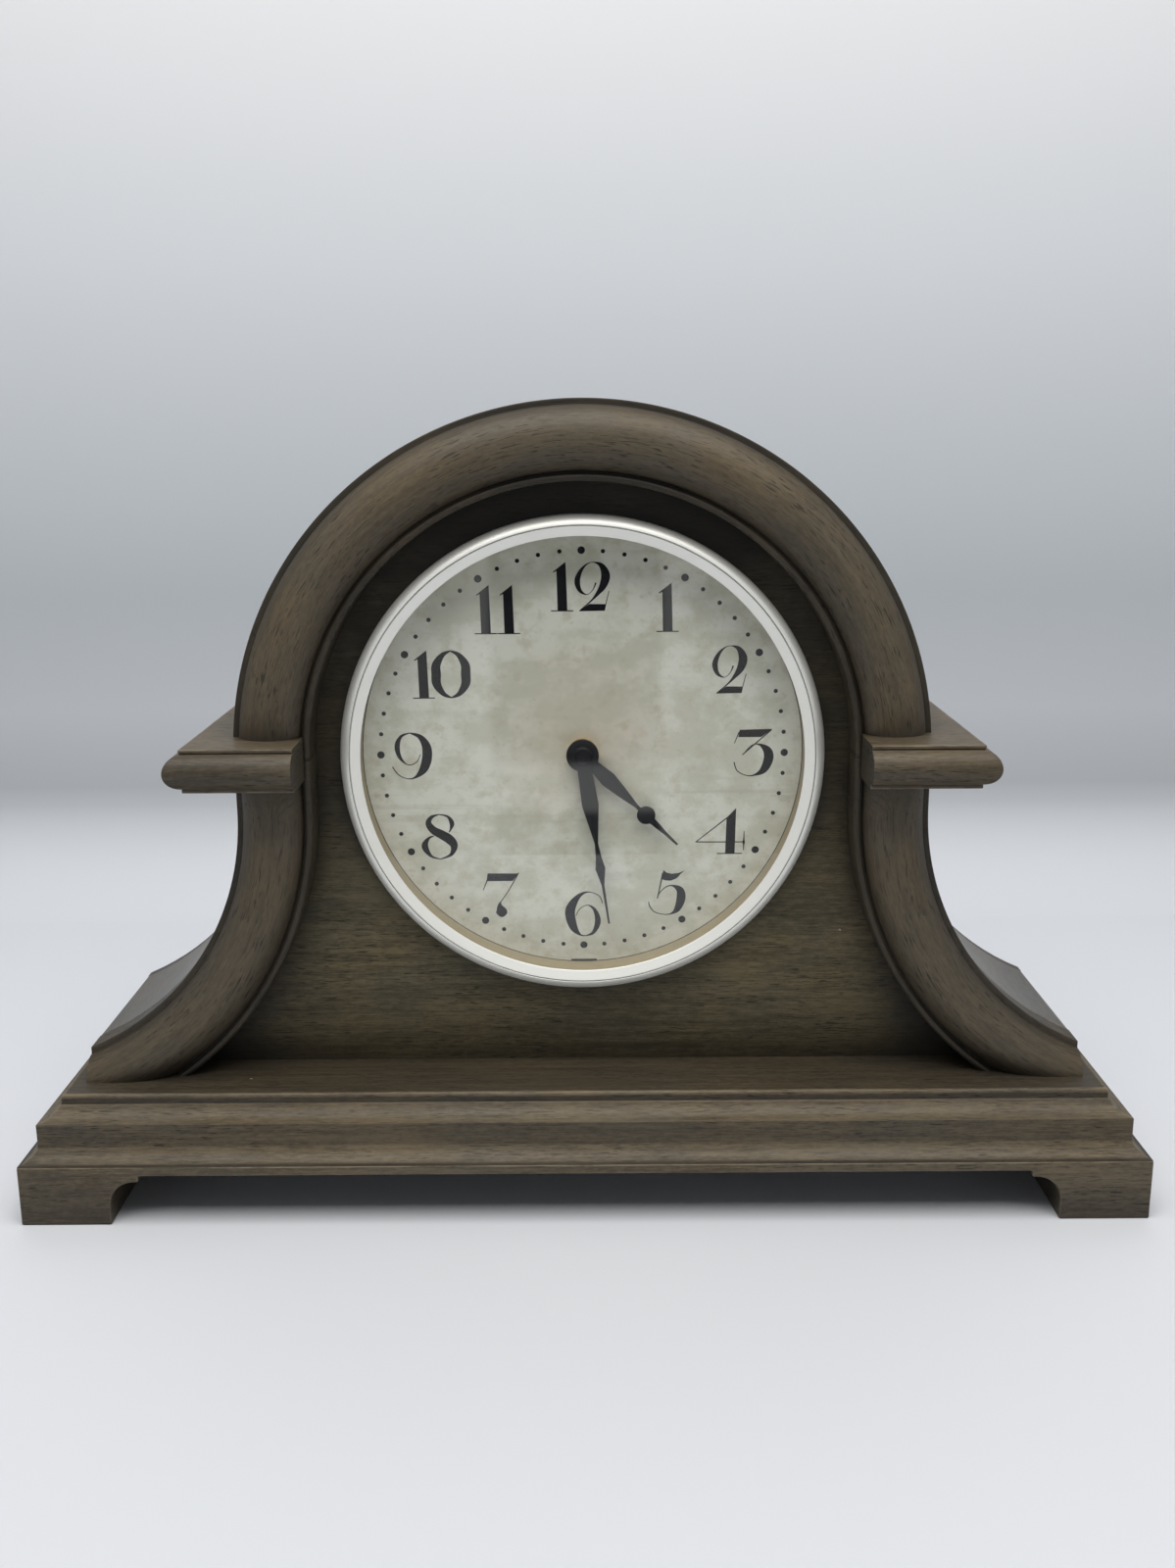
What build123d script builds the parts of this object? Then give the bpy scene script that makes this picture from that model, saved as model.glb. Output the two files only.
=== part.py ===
import math
import os

from build123d import *

# An arched shelf clock on flared legs. Millimetres, front towards -Y, standing on Z = 0.

# Foot tier: one board with a wide cut-out between two feet
case_width = 375.0
case_depth = 104.0
foot_width = 30.0
foot_straight = 7.0
foot_cove = 8.3
foot_ledge = 1.5
foot_step = 2.2
foot_strip = 3.3

# Moulded base board, from the foot tier upwards: how far each member steps in and its height
base_cove_setback = 5.6
base_cove_height = 5.2
base_fascia_height = 7.0
base_nose_setback = 1.5
base_nose_height = 2.0
base_hollow_setback = 4.7
base_hollow_height = 4.0
base_ledge = 0.5
base_fillet_height = 2.0

# Case: front panel, bent skins and back panel
panel_setback = 40.0
panel_thickness = 8.0
back_inset = 2.0
back_thickness = 4.0
skin_thickness = 6.0
arch_radius = 114.5
leg_straight = 17.5
leg_drop = 83.4
toe_height = 9.6
toe_margin = 17.7
toe_width = 12.0
glue_gap = 0.05

# Band moulding round the arch and down the legs: widths from the outer edge, then projections
band_fillet_width = 2.2
band_swell_width = 19.8
band_groove_width = 0.9
band_bead_width = 2.4
band_fillet_proud = 10.4
band_swell_edge_proud = 12.0
band_swell_proud = 18.4
band_groove_proud = 10.9
band_bead_edge_proud = 12.4
band_bead_proud = 13.5

# Side shelves at the springing of the arch
shelf_reach = 12.5
shelf_front_proud = 31.0
shelf_inner_lap = 23.5
shelf_top_fillet = 1.4
shelf_groove = 0.7
shelf_nose_proud = 4.4
shelf_nose_height = 10.6
shelf_bottom_fillet = 1.4
shelf_above_spring = 7.8

# Bezel, glass and dial stack
dial_drop = 1.9
bezel_margin = 8.7
bezel_edge = 2.5
bezel_bevel = 3.2
bezel_depth = 7.5
bezel_face = 3.65
bezel_face_drop = 1.0
bezel_lip = 0.9
glass_lap = 2.45
glass_thickness = 1.5
sleeve_wall = 1.2
spacer_wall = 1.6
spacer_length = 9.9
paper_margin = 0.3
paper_thickness = 0.3
dial_thickness = 0.8
dial_notch_width = 9.0
dial_notch_depth = 0.7
seat_clearance = 0.1
retainer_lap = 7.5
retainer_thickness = 1.5

# Hands
hand_thickness = 0.4
hub_radius = 5.5
minute_tip_gap = 14.5
minute_belly = 5.7
hour_shortfall = 15.0
hour_belly = 5.5
hour_disc_radius = 3.15
hand_gap = 0.5
cap_radius = 3.3
cap_height = 1.0

# Movement case, bush and battery
gasket_thickness = 0.6
gasket_radius = 16.0
movement_wall = 1.5
movement_depth = 15.9
chamber_above = 22.0
chamber_below = 10.0
battery_radius = 7.1
battery_length = 50.5
battery_nub_radius = 2.75
battery_nub = 1.0
battery_clearance = 0.2
contact_thickness = 0.5
contact_width = 8.0
bush_radius = 3.9
bush_flange_radius = 5.6
bush_flange = 0.4
bush_clearance = 0.2
washer_radius = 5.2
washer_thickness = 0.4
nut_flats = 9.4
nut_thickness = 1.5
bush_end = 0.2

# Wheels and arbors
shaft_clearance = 0.05
press_gap = 0.02
minute_arbor_radius = 1.2
hour_pipe_wall = 0.9
arbor_radius = 0.5
motion_arbor_radius = 0.75
pivot_depth = 0.8
wheel_thickness = 0.9
wheel_gap = 0.7
pinion_margin = 0.2
motion_module = 0.4
hour_module = 0.32
train_module = 0.24
knob_radius = 6.0
knob_height = 4.0
knob_gap = 0.4
rotor_radius = 2.5
rotor_height = 2.4
stator_hole_clearance = 0.6
stator_rim = 2.4
stator_thickness = 1.0
coil_radius = 3.0
coil_length = 13.0
coil_core_width = 2.4
coil_clearance = 0.7
post_radius = 1.0
board_thickness = 1.0
board_width = 14.0
board_height = 26.0

# Blocks and screws
block_size = 14.0
block_length = 36.0
block_spread = 70.0
base_screw_radius = 2.0
base_screw_head_radius = 3.8
base_screw_bite = 9.0
back_screw_radius = 1.2
back_screw_head_radius = 2.4
back_screw_bite = 8.0
retainer_screw_radius = 1.0
retainer_screw_head_radius = 2.0
retainer_screw_head = 1.0
retainer_screw_bite = 4.0
access_width = 112.0
access_height = 88.0
access_drop = 4.0
access_corner = 10.0
overrun = 5.0

# Tooth counts and angles
cannon_teeth = 12
motion_wheel_teeth = 36
motion_pinion_teeth = 12
hour_wheel_teeth = 48
centre_wheel_teeth = 64
train_wheel_teeth = 60
train_pinion_teeth = 8
intermediate_pinion_teeth = 10
rotor_pinion_teeth = 12
minute_angle = 171.6
hour_angle = 134.3
third_direction = 120.0
second_direction = 35.0
intermediate_direction = -10.0
rotor_direction = 25.0
back_screw_angles = (25.0, 90.0, 155.0)
retainer_screw_angles = (45.0, 135.0, 225.0, 315.0)
knob_flutes = 18

# Tooth form, in modules from the pitch circle and in shares of the tooth pitch
addendum_share = 0.7
dedendum_share = 1.0
tooth_root_share = 0.26
tooth_tip_share = 0.1
knob_flute_share = 0.09
knob_valley_share = 0.5

# How far a moulding's curve bows from its chord towards the corner
bow_share = 0.3

# Hand outlines: shares of the hand's length and of its widest half
minute_leaf_shares = ((0.0, 0.77), (0.16, 0.9), (0.29, 1.0), (0.4, 0.6), (0.517, 0.21))
minute_point_shares = ((0.667, 0.6), (0.767, 0.17), (1.0, 0.11))
hour_leaf_shares = ((0.0, 0.45), (0.12, 0.72), (0.27, 1.0), (0.43, 0.62), (0.58, 0.25), (0.667, 0.25))
hour_point_shares = ((0.72, 0.9), (0.8, 0.25), (1.0, 0.15))

# Places worked out from the sizes above
foot_front = -case_depth / 2
base_back = case_depth / 2
case_back = base_back - back_inset
skin_back = case_back - back_thickness
panel_front = foot_front + panel_setback
panel_back = panel_front + panel_thickness
foot_height = foot_straight + foot_cove + foot_step + foot_strip
base_height = (base_cove_height + base_fascia_height + base_nose_height
               + base_hollow_height + base_fillet_height)
base_top = foot_height + base_height
flare_z = base_top + toe_height + leg_drop
spring_z = flare_z + leg_straight
toe_x = case_width / 2 - toe_margin
leg_reach = toe_x - arch_radius
flare_radius = (leg_drop ** 2 + leg_reach ** 2) / (2 * leg_reach)
flare_x = arch_radius + flare_radius
shelf_top = spring_z + shelf_above_spring
shelf_height = shelf_top_fillet + shelf_groove + shelf_nose_height + shelf_bottom_fillet
shelf_bottom = shelf_top - shelf_height

dial_z = spring_z - dial_drop
band_width = band_fillet_width + band_swell_width + band_groove_width + band_bead_width
bezel_radius = arch_radius - band_width - bezel_margin
lip_radius = bezel_radius - bezel_bevel - bezel_face
bezel_front = panel_front - bezel_depth
glass_radius = lip_radius + glass_lap
sleeve_bore = glass_radius + seat_clearance
sleeve_radius = sleeve_bore + sleeve_wall
opening_radius = sleeve_radius + seat_clearance
glass_front = bezel_front + bezel_face_drop + bezel_lip
glass_back = glass_front + glass_thickness
plate_front = glass_back + spacer_length
dial_front = plate_front - paper_thickness
plate_back = plate_front + dial_thickness
spacer_bore = glass_radius - spacer_wall
paper_radius = spacer_bore - paper_margin
minute_length = spacer_bore - minute_tip_gap
hour_length = minute_length - hour_shortfall

movement_front = panel_back + gasket_thickness
chamber_front = movement_front + movement_wall
movement_back = movement_front + movement_depth
cover_front = movement_back - movement_wall
bay_half = battery_length / 2 + contact_thickness + battery_clearance + movement_wall
partition_z = dial_z - chamber_below - movement_wall
battery_z = partition_z - battery_clearance - battery_radius
battery_y = chamber_front + battery_clearance + battery_radius
movement_bottom = battery_z - battery_radius - battery_clearance - movement_wall
movement_top = dial_z + chamber_above + movement_wall

washer_front = dial_front - washer_thickness
nut_front = washer_front - nut_thickness
bush_front = nut_front - bush_end
hour_hand_back = bush_front - hand_gap
hour_hand_front = hour_hand_back - hand_thickness
minute_hand_back = hour_hand_front - hand_gap
minute_hand_front = minute_hand_back - hand_thickness
cap_front = minute_hand_front - cap_height
hour_pipe_bore = minute_arbor_radius + shaft_clearance
hour_pipe_radius = hour_pipe_bore + hour_pipe_wall
bush_bore = hour_pipe_radius + shaft_clearance

# Each wheel has its own layer behind the front plate
layer_step = wheel_thickness + wheel_gap
hour_layer = chamber_front + bush_flange + wheel_gap
motion_layer = hour_layer + layer_step
centre_layer = motion_layer + layer_step
third_layer = centre_layer + layer_step
second_layer = third_layer + layer_step
intermediate_layer = second_layer + layer_step
rotor_front = centre_layer + wheel_thickness
stator_front = rotor_front + (rotor_height - stator_thickness) / 2
pivot_front = chamber_front - pivot_depth
pivot_back = cover_front + pivot_depth


def stepped(start, direction, distance):
    angle = math.radians(direction)
    return (start[0] + distance * math.cos(angle), start[1] + distance * math.sin(angle))


def apart(teeth_a, teeth_b, module):
    return (teeth_a + teeth_b) * module / 2


arch_place = (0, spring_z)
centre_place = (0, dial_z)
motion_place = stepped(centre_place, 0, apart(cannon_teeth, motion_wheel_teeth, motion_module))
third_place = stepped(centre_place, third_direction,
                      apart(centre_wheel_teeth, train_pinion_teeth, train_module))
second_place = stepped(third_place, second_direction,
                       apart(train_wheel_teeth, train_pinion_teeth, train_module))
intermediate_place = stepped(second_place, intermediate_direction,
                             apart(train_wheel_teeth, intermediate_pinion_teeth, train_module))
rotor_place = stepped(intermediate_place, rotor_direction,
                      apart(train_wheel_teeth, rotor_pinion_teeth, train_module))


def facing(depth):
    # Plane seen from the front, X to the right and Z up, at the given depth
    return Plane.XZ.offset(-depth)


def turning(place):
    # Plane through an axis along Y: radius to the right, depth upwards
    return Plane(origin=(place[0], 0, place[1]), x_dir=(1, 0, 0), z_dir=(0, 0, 1))


def spindle(place):
    return Axis((place[0], 0, place[1]), (0, 1, 0))


def rod(place, radius, front, back, mode=Mode.ADD):
    with BuildSketch(facing(back)) as section:
        with Locations(place):
            Circle(radius)
    extrude(section.sketch, amount=back - front, mode=mode)


def brick(low, high, mode=Mode.ADD):
    middle = tuple((a + b) / 2 for a, b in zip(low, high))
    with Locations(middle):
        Box(*[b - a for a, b in zip(low, high)], mode=mode)


def turned(place, outline):
    # Ring or disc from (radius, depth) corners
    with BuildSketch(turning(place)) as section:
        with BuildLine():
            Polyline(*outline, close=True)
        make_face()
    revolve(section.sketch, axis=spindle(place))


def toothed(place, teeth, module, phase, front, back):
    pitch_radius = teeth * module / 2
    root = pitch_radius - dedendum_share * module
    tip = pitch_radius + addendum_share * module
    corners = []
    for tooth in range(teeth):
        for radius, share in ((root, -tooth_root_share), (tip, -tooth_tip_share),
                              (tip, tooth_tip_share), (root, tooth_root_share)):
            corners.append(stepped(place, phase + 360 / teeth * (tooth + share), radius))
    with BuildSketch(facing(back)) as section:
        with BuildLine():
            Polyline(*corners, close=True)
        make_face()
    extrude(section.sketch, amount=back - front)


def gap_phase(direction, teeth):
    # A gear whose tooth gap looks back along the line from its driver
    return direction + 180 + 180 / teeth


def arc_point(centre, radius, direction):
    return stepped(centre, direction, radius)


def case_outline(depth, inset, toe_inset):
    # Arch, legs and toes in one outline, drawn in from the outside by the inset
    side = arch_radius - inset
    curve = flare_radius + inset
    flare = (flare_x, flare_z)
    end_x = toe_x - toe_inset
    end_z = flare_z - math.sqrt(curve ** 2 - (flare_x - end_x) ** 2)
    end_direction = math.degrees(math.atan2(end_z - flare_z, end_x - flare_x))
    middle_direction = (end_direction % 360 + 180) / 2
    with BuildSketch(facing(depth)) as outline:
        with BuildLine():
            Line((0, base_top), (end_x, base_top))
            Line((end_x, base_top), (end_x, end_z))
            ThreePointArc((end_x, end_z), arc_point(flare, curve, middle_direction), (side, flare_z))
            Line((side, flare_z), (side, spring_z))
            ThreePointArc((side, spring_z), arc_point(arch_place, side, 45), (0, spring_z + side))
            mirror(about=Plane.YZ)
        make_face()
    return outline.sketch


def countersunk(place, head_radius, radius, front, back, mode=Mode.ADD):
    # Screw along Y with its flat head at the back, or the hole for one
    neck = back - (head_radius - radius)
    outline = ((0, back), (head_radius, back), (radius, neck), (radius, front), (0, front))
    with BuildSketch(turning(place)) as section:
        with BuildLine():
            Polyline(*outline, close=True)
        make_face()
    revolve(section.sketch, axis=spindle(place), mode=mode)


def upright(place, radius, bottom, top, mode=Mode.ADD):
    with BuildSketch(Plane.XY.offset(bottom)) as section:
        with Locations(place):
            Circle(radius)
    extrude(section.sketch, amount=top - bottom, mode=mode)


def standing_screw(place, head_radius, radius, bottom, top, mode=Mode.ADD):
    # Screw along Z with its flat head at the bottom, or the hole for one
    neck = bottom + head_radius - radius
    outline = ((0, bottom), (head_radius, bottom), (radius, neck), (radius, top), (0, top))
    section_plane = Plane(origin=(place[0], place[1], 0), x_dir=(1, 0, 0), z_dir=(0, -1, 0))
    with BuildSketch(section_plane) as section:
        with BuildLine():
            Polyline(*outline, close=True)
        make_face()
    revolve(section.sketch, axis=Axis((place[0], place[1], 0), (0, 0, 1)), mode=mode)


# Foot tier: the cut-out runs right through, with a cove and a ledge inside each foot
block_front_y = panel_back + block_size / 2
block_back_y = skin_back - block_size / 2
block_places = [(side * block_spread, depth) for side in (-1, 1) for depth in (block_front_y, block_back_y)]
strip_bottom = foot_height - foot_strip
screw_top = base_top + base_screw_bite

with BuildPart() as foot_plinth:
    with BuildSketch(facing(base_back)) as section:
        with BuildLine():
            outer_x = case_width / 2
            inner_x = outer_x - foot_width
            cove_z = foot_straight + foot_cove
            ledge_x = inner_x - foot_cove - foot_ledge
            Polyline((0, foot_height), (outer_x, foot_height), (outer_x, 0), (inner_x, 0),
                     (inner_x, foot_straight))
            ThreePointArc((inner_x, foot_straight),
                          arc_point((inner_x - foot_cove, foot_straight), foot_cove, 45),
                          (inner_x - foot_cove, cove_z))
            Polyline((inner_x - foot_cove, cove_z), (ledge_x, cove_z), (ledge_x, strip_bottom),
                     (0, strip_bottom))
            mirror(about=Plane.YZ)
        make_face()
    extrude(amount=case_depth)
    for place in block_places:
        standing_screw(place, base_screw_head_radius + glue_gap, base_screw_radius + glue_gap,
                       strip_bottom, foot_height + overrun, Mode.SUBTRACT)


def bowed(start, corner, end):
    # Arc from start to end, bowed towards the corner
    middle = [(a + b) / 2 for a, b in zip(start, end)]
    bow = tuple(a + (c - a) * bow_share for a, c in zip(middle, corner))
    ThreePointArc(start, bow, end)


def base_edge(side, edge):
    # Moulded edge from the foot tier up; side is the way inwards
    levels = [foot_height]
    for height in (base_cove_height, base_fascia_height, base_nose_height, base_hollow_height):
        levels.append(levels[-1] + height)
    cove = edge + side * base_cove_setback
    nose = cove + side * base_nose_setback
    hollow = nose + side * base_hollow_setback
    fillet = hollow + side * base_ledge
    bowed((edge, levels[0]), (cove, levels[0]), (cove, levels[1]))
    Line((cove, levels[1]), (cove, levels[2]))
    bowed((cove, levels[2]), (cove, levels[3]), (nose, levels[3]))
    bowed((nose, levels[3]), (hollow, levels[3]), (hollow, levels[4]))
    Polyline((hollow, levels[4]), (fillet, levels[4]), (fillet, base_top))
    return fillet


# Base board: the same edge along the front and both sides, mitred at the corners
with BuildPart() as base_moulding:
    with BuildSketch(Plane.YZ.offset(-case_width / 2)):
        with BuildLine():
            fillet_y = base_edge(1, foot_front)
            Polyline((fillet_y, base_top), (base_back, base_top), (base_back, foot_height),
                     (foot_front, foot_height))
        make_face()
    extrude(amount=case_width)
    with BuildSketch(facing(base_back)):
        with BuildLine():
            fillet_x = base_edge(-1, case_width / 2)
            Line((fillet_x, base_top), (0, base_top))
            Line((case_width / 2, foot_height), (0, foot_height))
            mirror(about=Plane.YZ)
        make_face()
    extrude(amount=case_depth, mode=Mode.INTERSECT)
    for place in block_places:
        upright(place, base_screw_radius + glue_gap, foot_height - overrun, base_top + overrun,
                Mode.SUBTRACT)

with BuildPart() as corner_blocks:
    for place in block_places:
        brick((place[0] - block_length / 2, place[1] - block_size / 2, base_top),
              (place[0] + block_length / 2, place[1] + block_size / 2, base_top + block_size))
        upright(place, base_screw_radius + glue_gap, base_top - overrun, screw_top + glue_gap,
                Mode.SUBTRACT)

with BuildPart() as base_screws:
    for place in block_places:
        standing_screw(place, base_screw_head_radius, base_screw_radius, strip_bottom, screw_top)

# Front panel, inside the skins, with the round opening for the bezel's sleeve
panel_outline = case_outline(panel_back, skin_thickness + glue_gap, toe_width + glue_gap)
retainer_radius = opening_radius + retainer_lap
retainer_bore = sleeve_bore - retainer_lap
retainer_screw_circle = (opening_radius + retainer_radius) / 2
retainer_places = [stepped(centre_place, angle, retainer_screw_circle) for angle in retainer_screw_angles]
retainer_back = panel_back + retainer_thickness
retainer_screw_front = panel_back - retainer_screw_bite

with BuildPart() as front_panel:
    extrude(panel_outline, amount=panel_thickness)
    rod(centre_place, opening_radius, panel_front - overrun, panel_back + overrun, Mode.SUBTRACT)
    for place in retainer_places:
        rod(place, retainer_screw_radius + glue_gap, retainer_screw_front - glue_gap,
            panel_back + overrun, Mode.SUBTRACT)

# Skins: the hood over the arch and one bent side on each leg, ending in a solid toe
case_length = skin_back - panel_front
back_screw_front = skin_back - back_screw_bite
skin_middle = arch_radius - skin_thickness / 2
hood_screw_places = [stepped(arch_place, angle, skin_middle) for angle in back_screw_angles]
side_screw_place = (skin_middle, flare_z + leg_straight / 2)
toe_screw_place = (toe_x - toe_width / 2, base_top + toe_height / 2)

with BuildPart() as hood:
    with BuildSketch(facing(skin_back)):
        with Locations(arch_place):
            Circle(arch_radius)
            Circle(arch_radius - skin_thickness, mode=Mode.SUBTRACT)
    extrude(amount=case_length)
    split(bisect_by=Plane.XY.offset(spring_z), keep=Keep.TOP)
    for place in hood_screw_places:
        rod(place, back_screw_radius + glue_gap, back_screw_front - glue_gap, case_back, Mode.SUBTRACT)

side_outer = case_outline(skin_back, 0, 0)
side_inner = case_outline(skin_back, skin_thickness, toe_width)

with BuildPart() as right_side:
    extrude(side_outer, amount=case_length)
    extrude(side_inner, amount=case_length, mode=Mode.SUBTRACT)
    split(bisect_by=Plane.XY.offset(spring_z), keep=Keep.BOTTOM)
    split(bisect_by=Plane.YZ, keep=Keep.TOP)
    for place in (side_screw_place, toe_screw_place):
        rod(place, back_screw_radius + glue_gap, back_screw_front - glue_gap, case_back, Mode.SUBTRACT)

with BuildPart() as left_side:
    mirror(right_side.part, about=Plane.YZ)

# Back panel over the skins' rear edges, with an open access hole behind the movement
mirrored_places = [(-place[0], place[1]) for place in (side_screw_place, toe_screw_place)]
back_screw_places = hood_screw_places + [side_screw_place, toe_screw_place] + mirrored_places
access_z = dial_z - access_drop

with BuildPart() as back_panel:
    extrude(case_outline(case_back, 0, 0), amount=back_thickness)
    with BuildSketch(facing(case_back)):
        with Locations((0, access_z)):
            RectangleRounded(access_width, access_height, access_corner)
    extrude(amount=back_thickness, mode=Mode.SUBTRACT)
    for place in back_screw_places:
        countersunk(place, back_screw_head_radius + glue_gap, back_screw_radius + glue_gap,
                    skin_back - overrun, case_back, Mode.SUBTRACT)

with BuildPart() as back_screws:
    for place in back_screw_places:
        countersunk(place, back_screw_head_radius, back_screw_radius, back_screw_front, case_back)

# Band moulding: fillet, broad swell, groove and bead, glued to the panel and the skins' front edges
swell_start = arch_radius - band_fillet_width
swell_end = swell_start - band_swell_width
bead_start = swell_end - band_groove_width
bead_end = bead_start - band_bead_width


def band_section(level):
    with BuildSketch(Plane.XY.offset(level)) as section:
        with BuildLine():
            Polyline((arch_radius, panel_front), (arch_radius, panel_front - band_fillet_proud),
                     (swell_start, panel_front - band_fillet_proud),
                     (swell_start, panel_front - band_swell_edge_proud))
            ThreePointArc((swell_start, panel_front - band_swell_edge_proud),
                          ((swell_start + swell_end) / 2, panel_front - band_swell_proud),
                          (swell_end, panel_front - band_swell_edge_proud))
            Polyline((swell_end, panel_front - band_swell_edge_proud),
                     (swell_end, panel_front - band_groove_proud),
                     (bead_start, panel_front - band_groove_proud),
                     (bead_start, panel_front - band_bead_edge_proud))
            ThreePointArc((bead_start, panel_front - band_bead_edge_proud),
                          ((bead_start + bead_end) / 2, panel_front - band_bead_proud),
                          (bead_end, panel_front - band_bead_edge_proud))
            Polyline((bead_end, panel_front - band_bead_edge_proud), (bead_end, panel_front),
                     (arch_radius, panel_front))
        make_face()
    return section.sketch


shelf_inner = arch_radius - shelf_inner_lap
shelf_outer = arch_radius + shelf_reach
shelf_front = panel_front - shelf_front_proud
shelf_space_low = (shelf_inner, shelf_front - overrun, shelf_bottom)
shelf_space_high = (shelf_outer + overrun, panel_front + overrun, shelf_top)

with BuildPart() as arch_moulding:
    revolve(band_section(spring_z), axis=Axis((0, 0, spring_z), (0, -1, 0)), revolution_arc=180)
    brick(shelf_space_low, shelf_space_high, Mode.SUBTRACT)
    brick((-shelf_space_high[0], shelf_space_low[1], shelf_space_low[2]),
          (-shelf_space_low[0], shelf_space_high[1], shelf_space_high[2]), Mode.SUBTRACT)

with BuildPart() as right_leg_moulding:
    extrude(band_section(flare_z), amount=leg_straight)
    revolve(band_section(flare_z), axis=Axis((flare_x, 0, flare_z), (0, -1, 0)), revolution_arc=90)
    split(bisect_by=Plane.XY.offset(base_top), keep=Keep.TOP)
    split(bisect_by=Plane.YZ.offset(toe_x), keep=Keep.BOTTOM)
    brick(shelf_space_low, shelf_space_high, Mode.SUBTRACT)

with BuildPart() as left_leg_moulding:
    mirror(right_leg_moulding.part, about=Plane.YZ)


def shelf_edge(side, edge):
    # Shelf edge from the top down: fillet, groove, half-round nose, fillet
    groove_top = shelf_top - shelf_top_fillet
    nose_top = groove_top - shelf_groove
    nose_bottom = nose_top - shelf_nose_height
    groove = edge - side * shelf_groove
    Polyline((edge, shelf_top), (edge, groove_top), (groove, groove_top), (groove, nose_top),
             (edge, nose_top))
    ThreePointArc((edge, nose_top), (edge + side * shelf_nose_proud, (nose_top + nose_bottom) / 2),
                  (edge, nose_bottom))
    Polyline((edge, nose_bottom), (groove, nose_bottom), (groove, shelf_bottom))
    return groove


# Side shelves wrap the outer corner of the case; front and outer edges are moulded and mitred
with BuildPart() as right_shelf:
    with BuildSketch(Plane.YZ.offset(shelf_inner)):
        with BuildLine():
            lower_y = shelf_edge(-1, shelf_front)
            Polyline((lower_y, shelf_bottom), (case_back, shelf_bottom), (case_back, shelf_top),
                     (shelf_front, shelf_top))
        make_face()
    extrude(amount=shelf_outer - shelf_inner + shelf_nose_proud)
    with BuildSketch(facing(case_back)):
        with BuildLine():
            lower_x = shelf_edge(1, shelf_outer)
            Polyline((lower_x, shelf_bottom), (shelf_inner, shelf_bottom), (shelf_inner, shelf_top),
                     (shelf_outer, shelf_top))
        make_face()
    extrude(amount=case_back - shelf_front + shelf_nose_proud, mode=Mode.INTERSECT)
    brick((0, panel_front, shelf_bottom - overrun),
          (arch_radius + glue_gap, case_back + overrun, shelf_top + overrun), Mode.SUBTRACT)

with BuildPart() as left_shelf:
    mirror(right_shelf.part, about=Plane.YZ)

# Bezel: bevelled ring with a lip over the glass and a sleeve through the panel
with BuildPart() as bezel_ring:
    ridge_radius = bezel_radius - bezel_bevel
    turned(centre_place, ((bezel_radius, panel_front), (bezel_radius, panel_front - bezel_edge),
                          (ridge_radius, bezel_front), (lip_radius, bezel_front + bezel_face_drop),
                          (lip_radius, glass_front), (sleeve_bore, glass_front),
                          (sleeve_bore, panel_back), (sleeve_radius, panel_back),
                          (sleeve_radius, panel_front)))

with BuildPart() as glass_lens:
    rod(centre_place, glass_radius, glass_front, glass_back)

with BuildPart() as dial_spacer:
    rod(centre_place, glass_radius, glass_back, plate_front)
    rod(centre_place, spacer_bore, glass_back - overrun, plate_front + overrun, Mode.SUBTRACT)


def dial_disc(radius, front, back):
    rod(centre_place, radius, front, back)
    rod(centre_place, bush_radius + bush_clearance, front - overrun, back + overrun, Mode.SUBTRACT)


notch_top = dial_z - paper_radius + dial_notch_depth

with BuildPart() as dial_paper:
    dial_disc(paper_radius, dial_front, plate_front)
    brick((-dial_notch_width / 2, dial_front - overrun, dial_z - paper_radius - overrun),
          (dial_notch_width / 2, plate_front + overrun, notch_top), Mode.SUBTRACT)

with BuildPart() as dial_plate:
    dial_disc(glass_radius, plate_front, plate_back)

with BuildPart() as dial_backing:
    dial_disc(glass_radius, plate_back, panel_back)

with BuildPart() as retaining_ring:
    rod(centre_place, retainer_radius, panel_back, retainer_back)
    rod(centre_place, retainer_bore, panel_back - overrun, retainer_back + overrun, Mode.SUBTRACT)
    for place in retainer_places:
        rod(place, retainer_screw_radius + glue_gap, panel_back - overrun, retainer_back + overrun,
            Mode.SUBTRACT)

with BuildPart() as retaining_screws:
    for place in retainer_places:
        rod(place, retainer_screw_radius, retainer_screw_front, retainer_back)
        rod(place, retainer_screw_head_radius, retainer_back, retainer_back + retainer_screw_head)

# Movement case: a tray with a gear chamber above an open battery bay
train_places = (third_place, second_place, intermediate_place, rotor_place)
stator_half = rotor_radius + stator_hole_clearance + stator_rim
coil_x = rotor_place[0] + stator_half - coil_core_width / 2
coil_top = rotor_place[1] - stator_half
stator_foot = coil_top - coil_length - coil_core_width
chamber_half = coil_x + coil_radius + coil_clearance + movement_wall
post_places = ((rotor_place[0] - stator_half + post_radius, rotor_place[1] + stator_half - post_radius),
               (coil_x, stator_foot + coil_core_width / 2))

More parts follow.
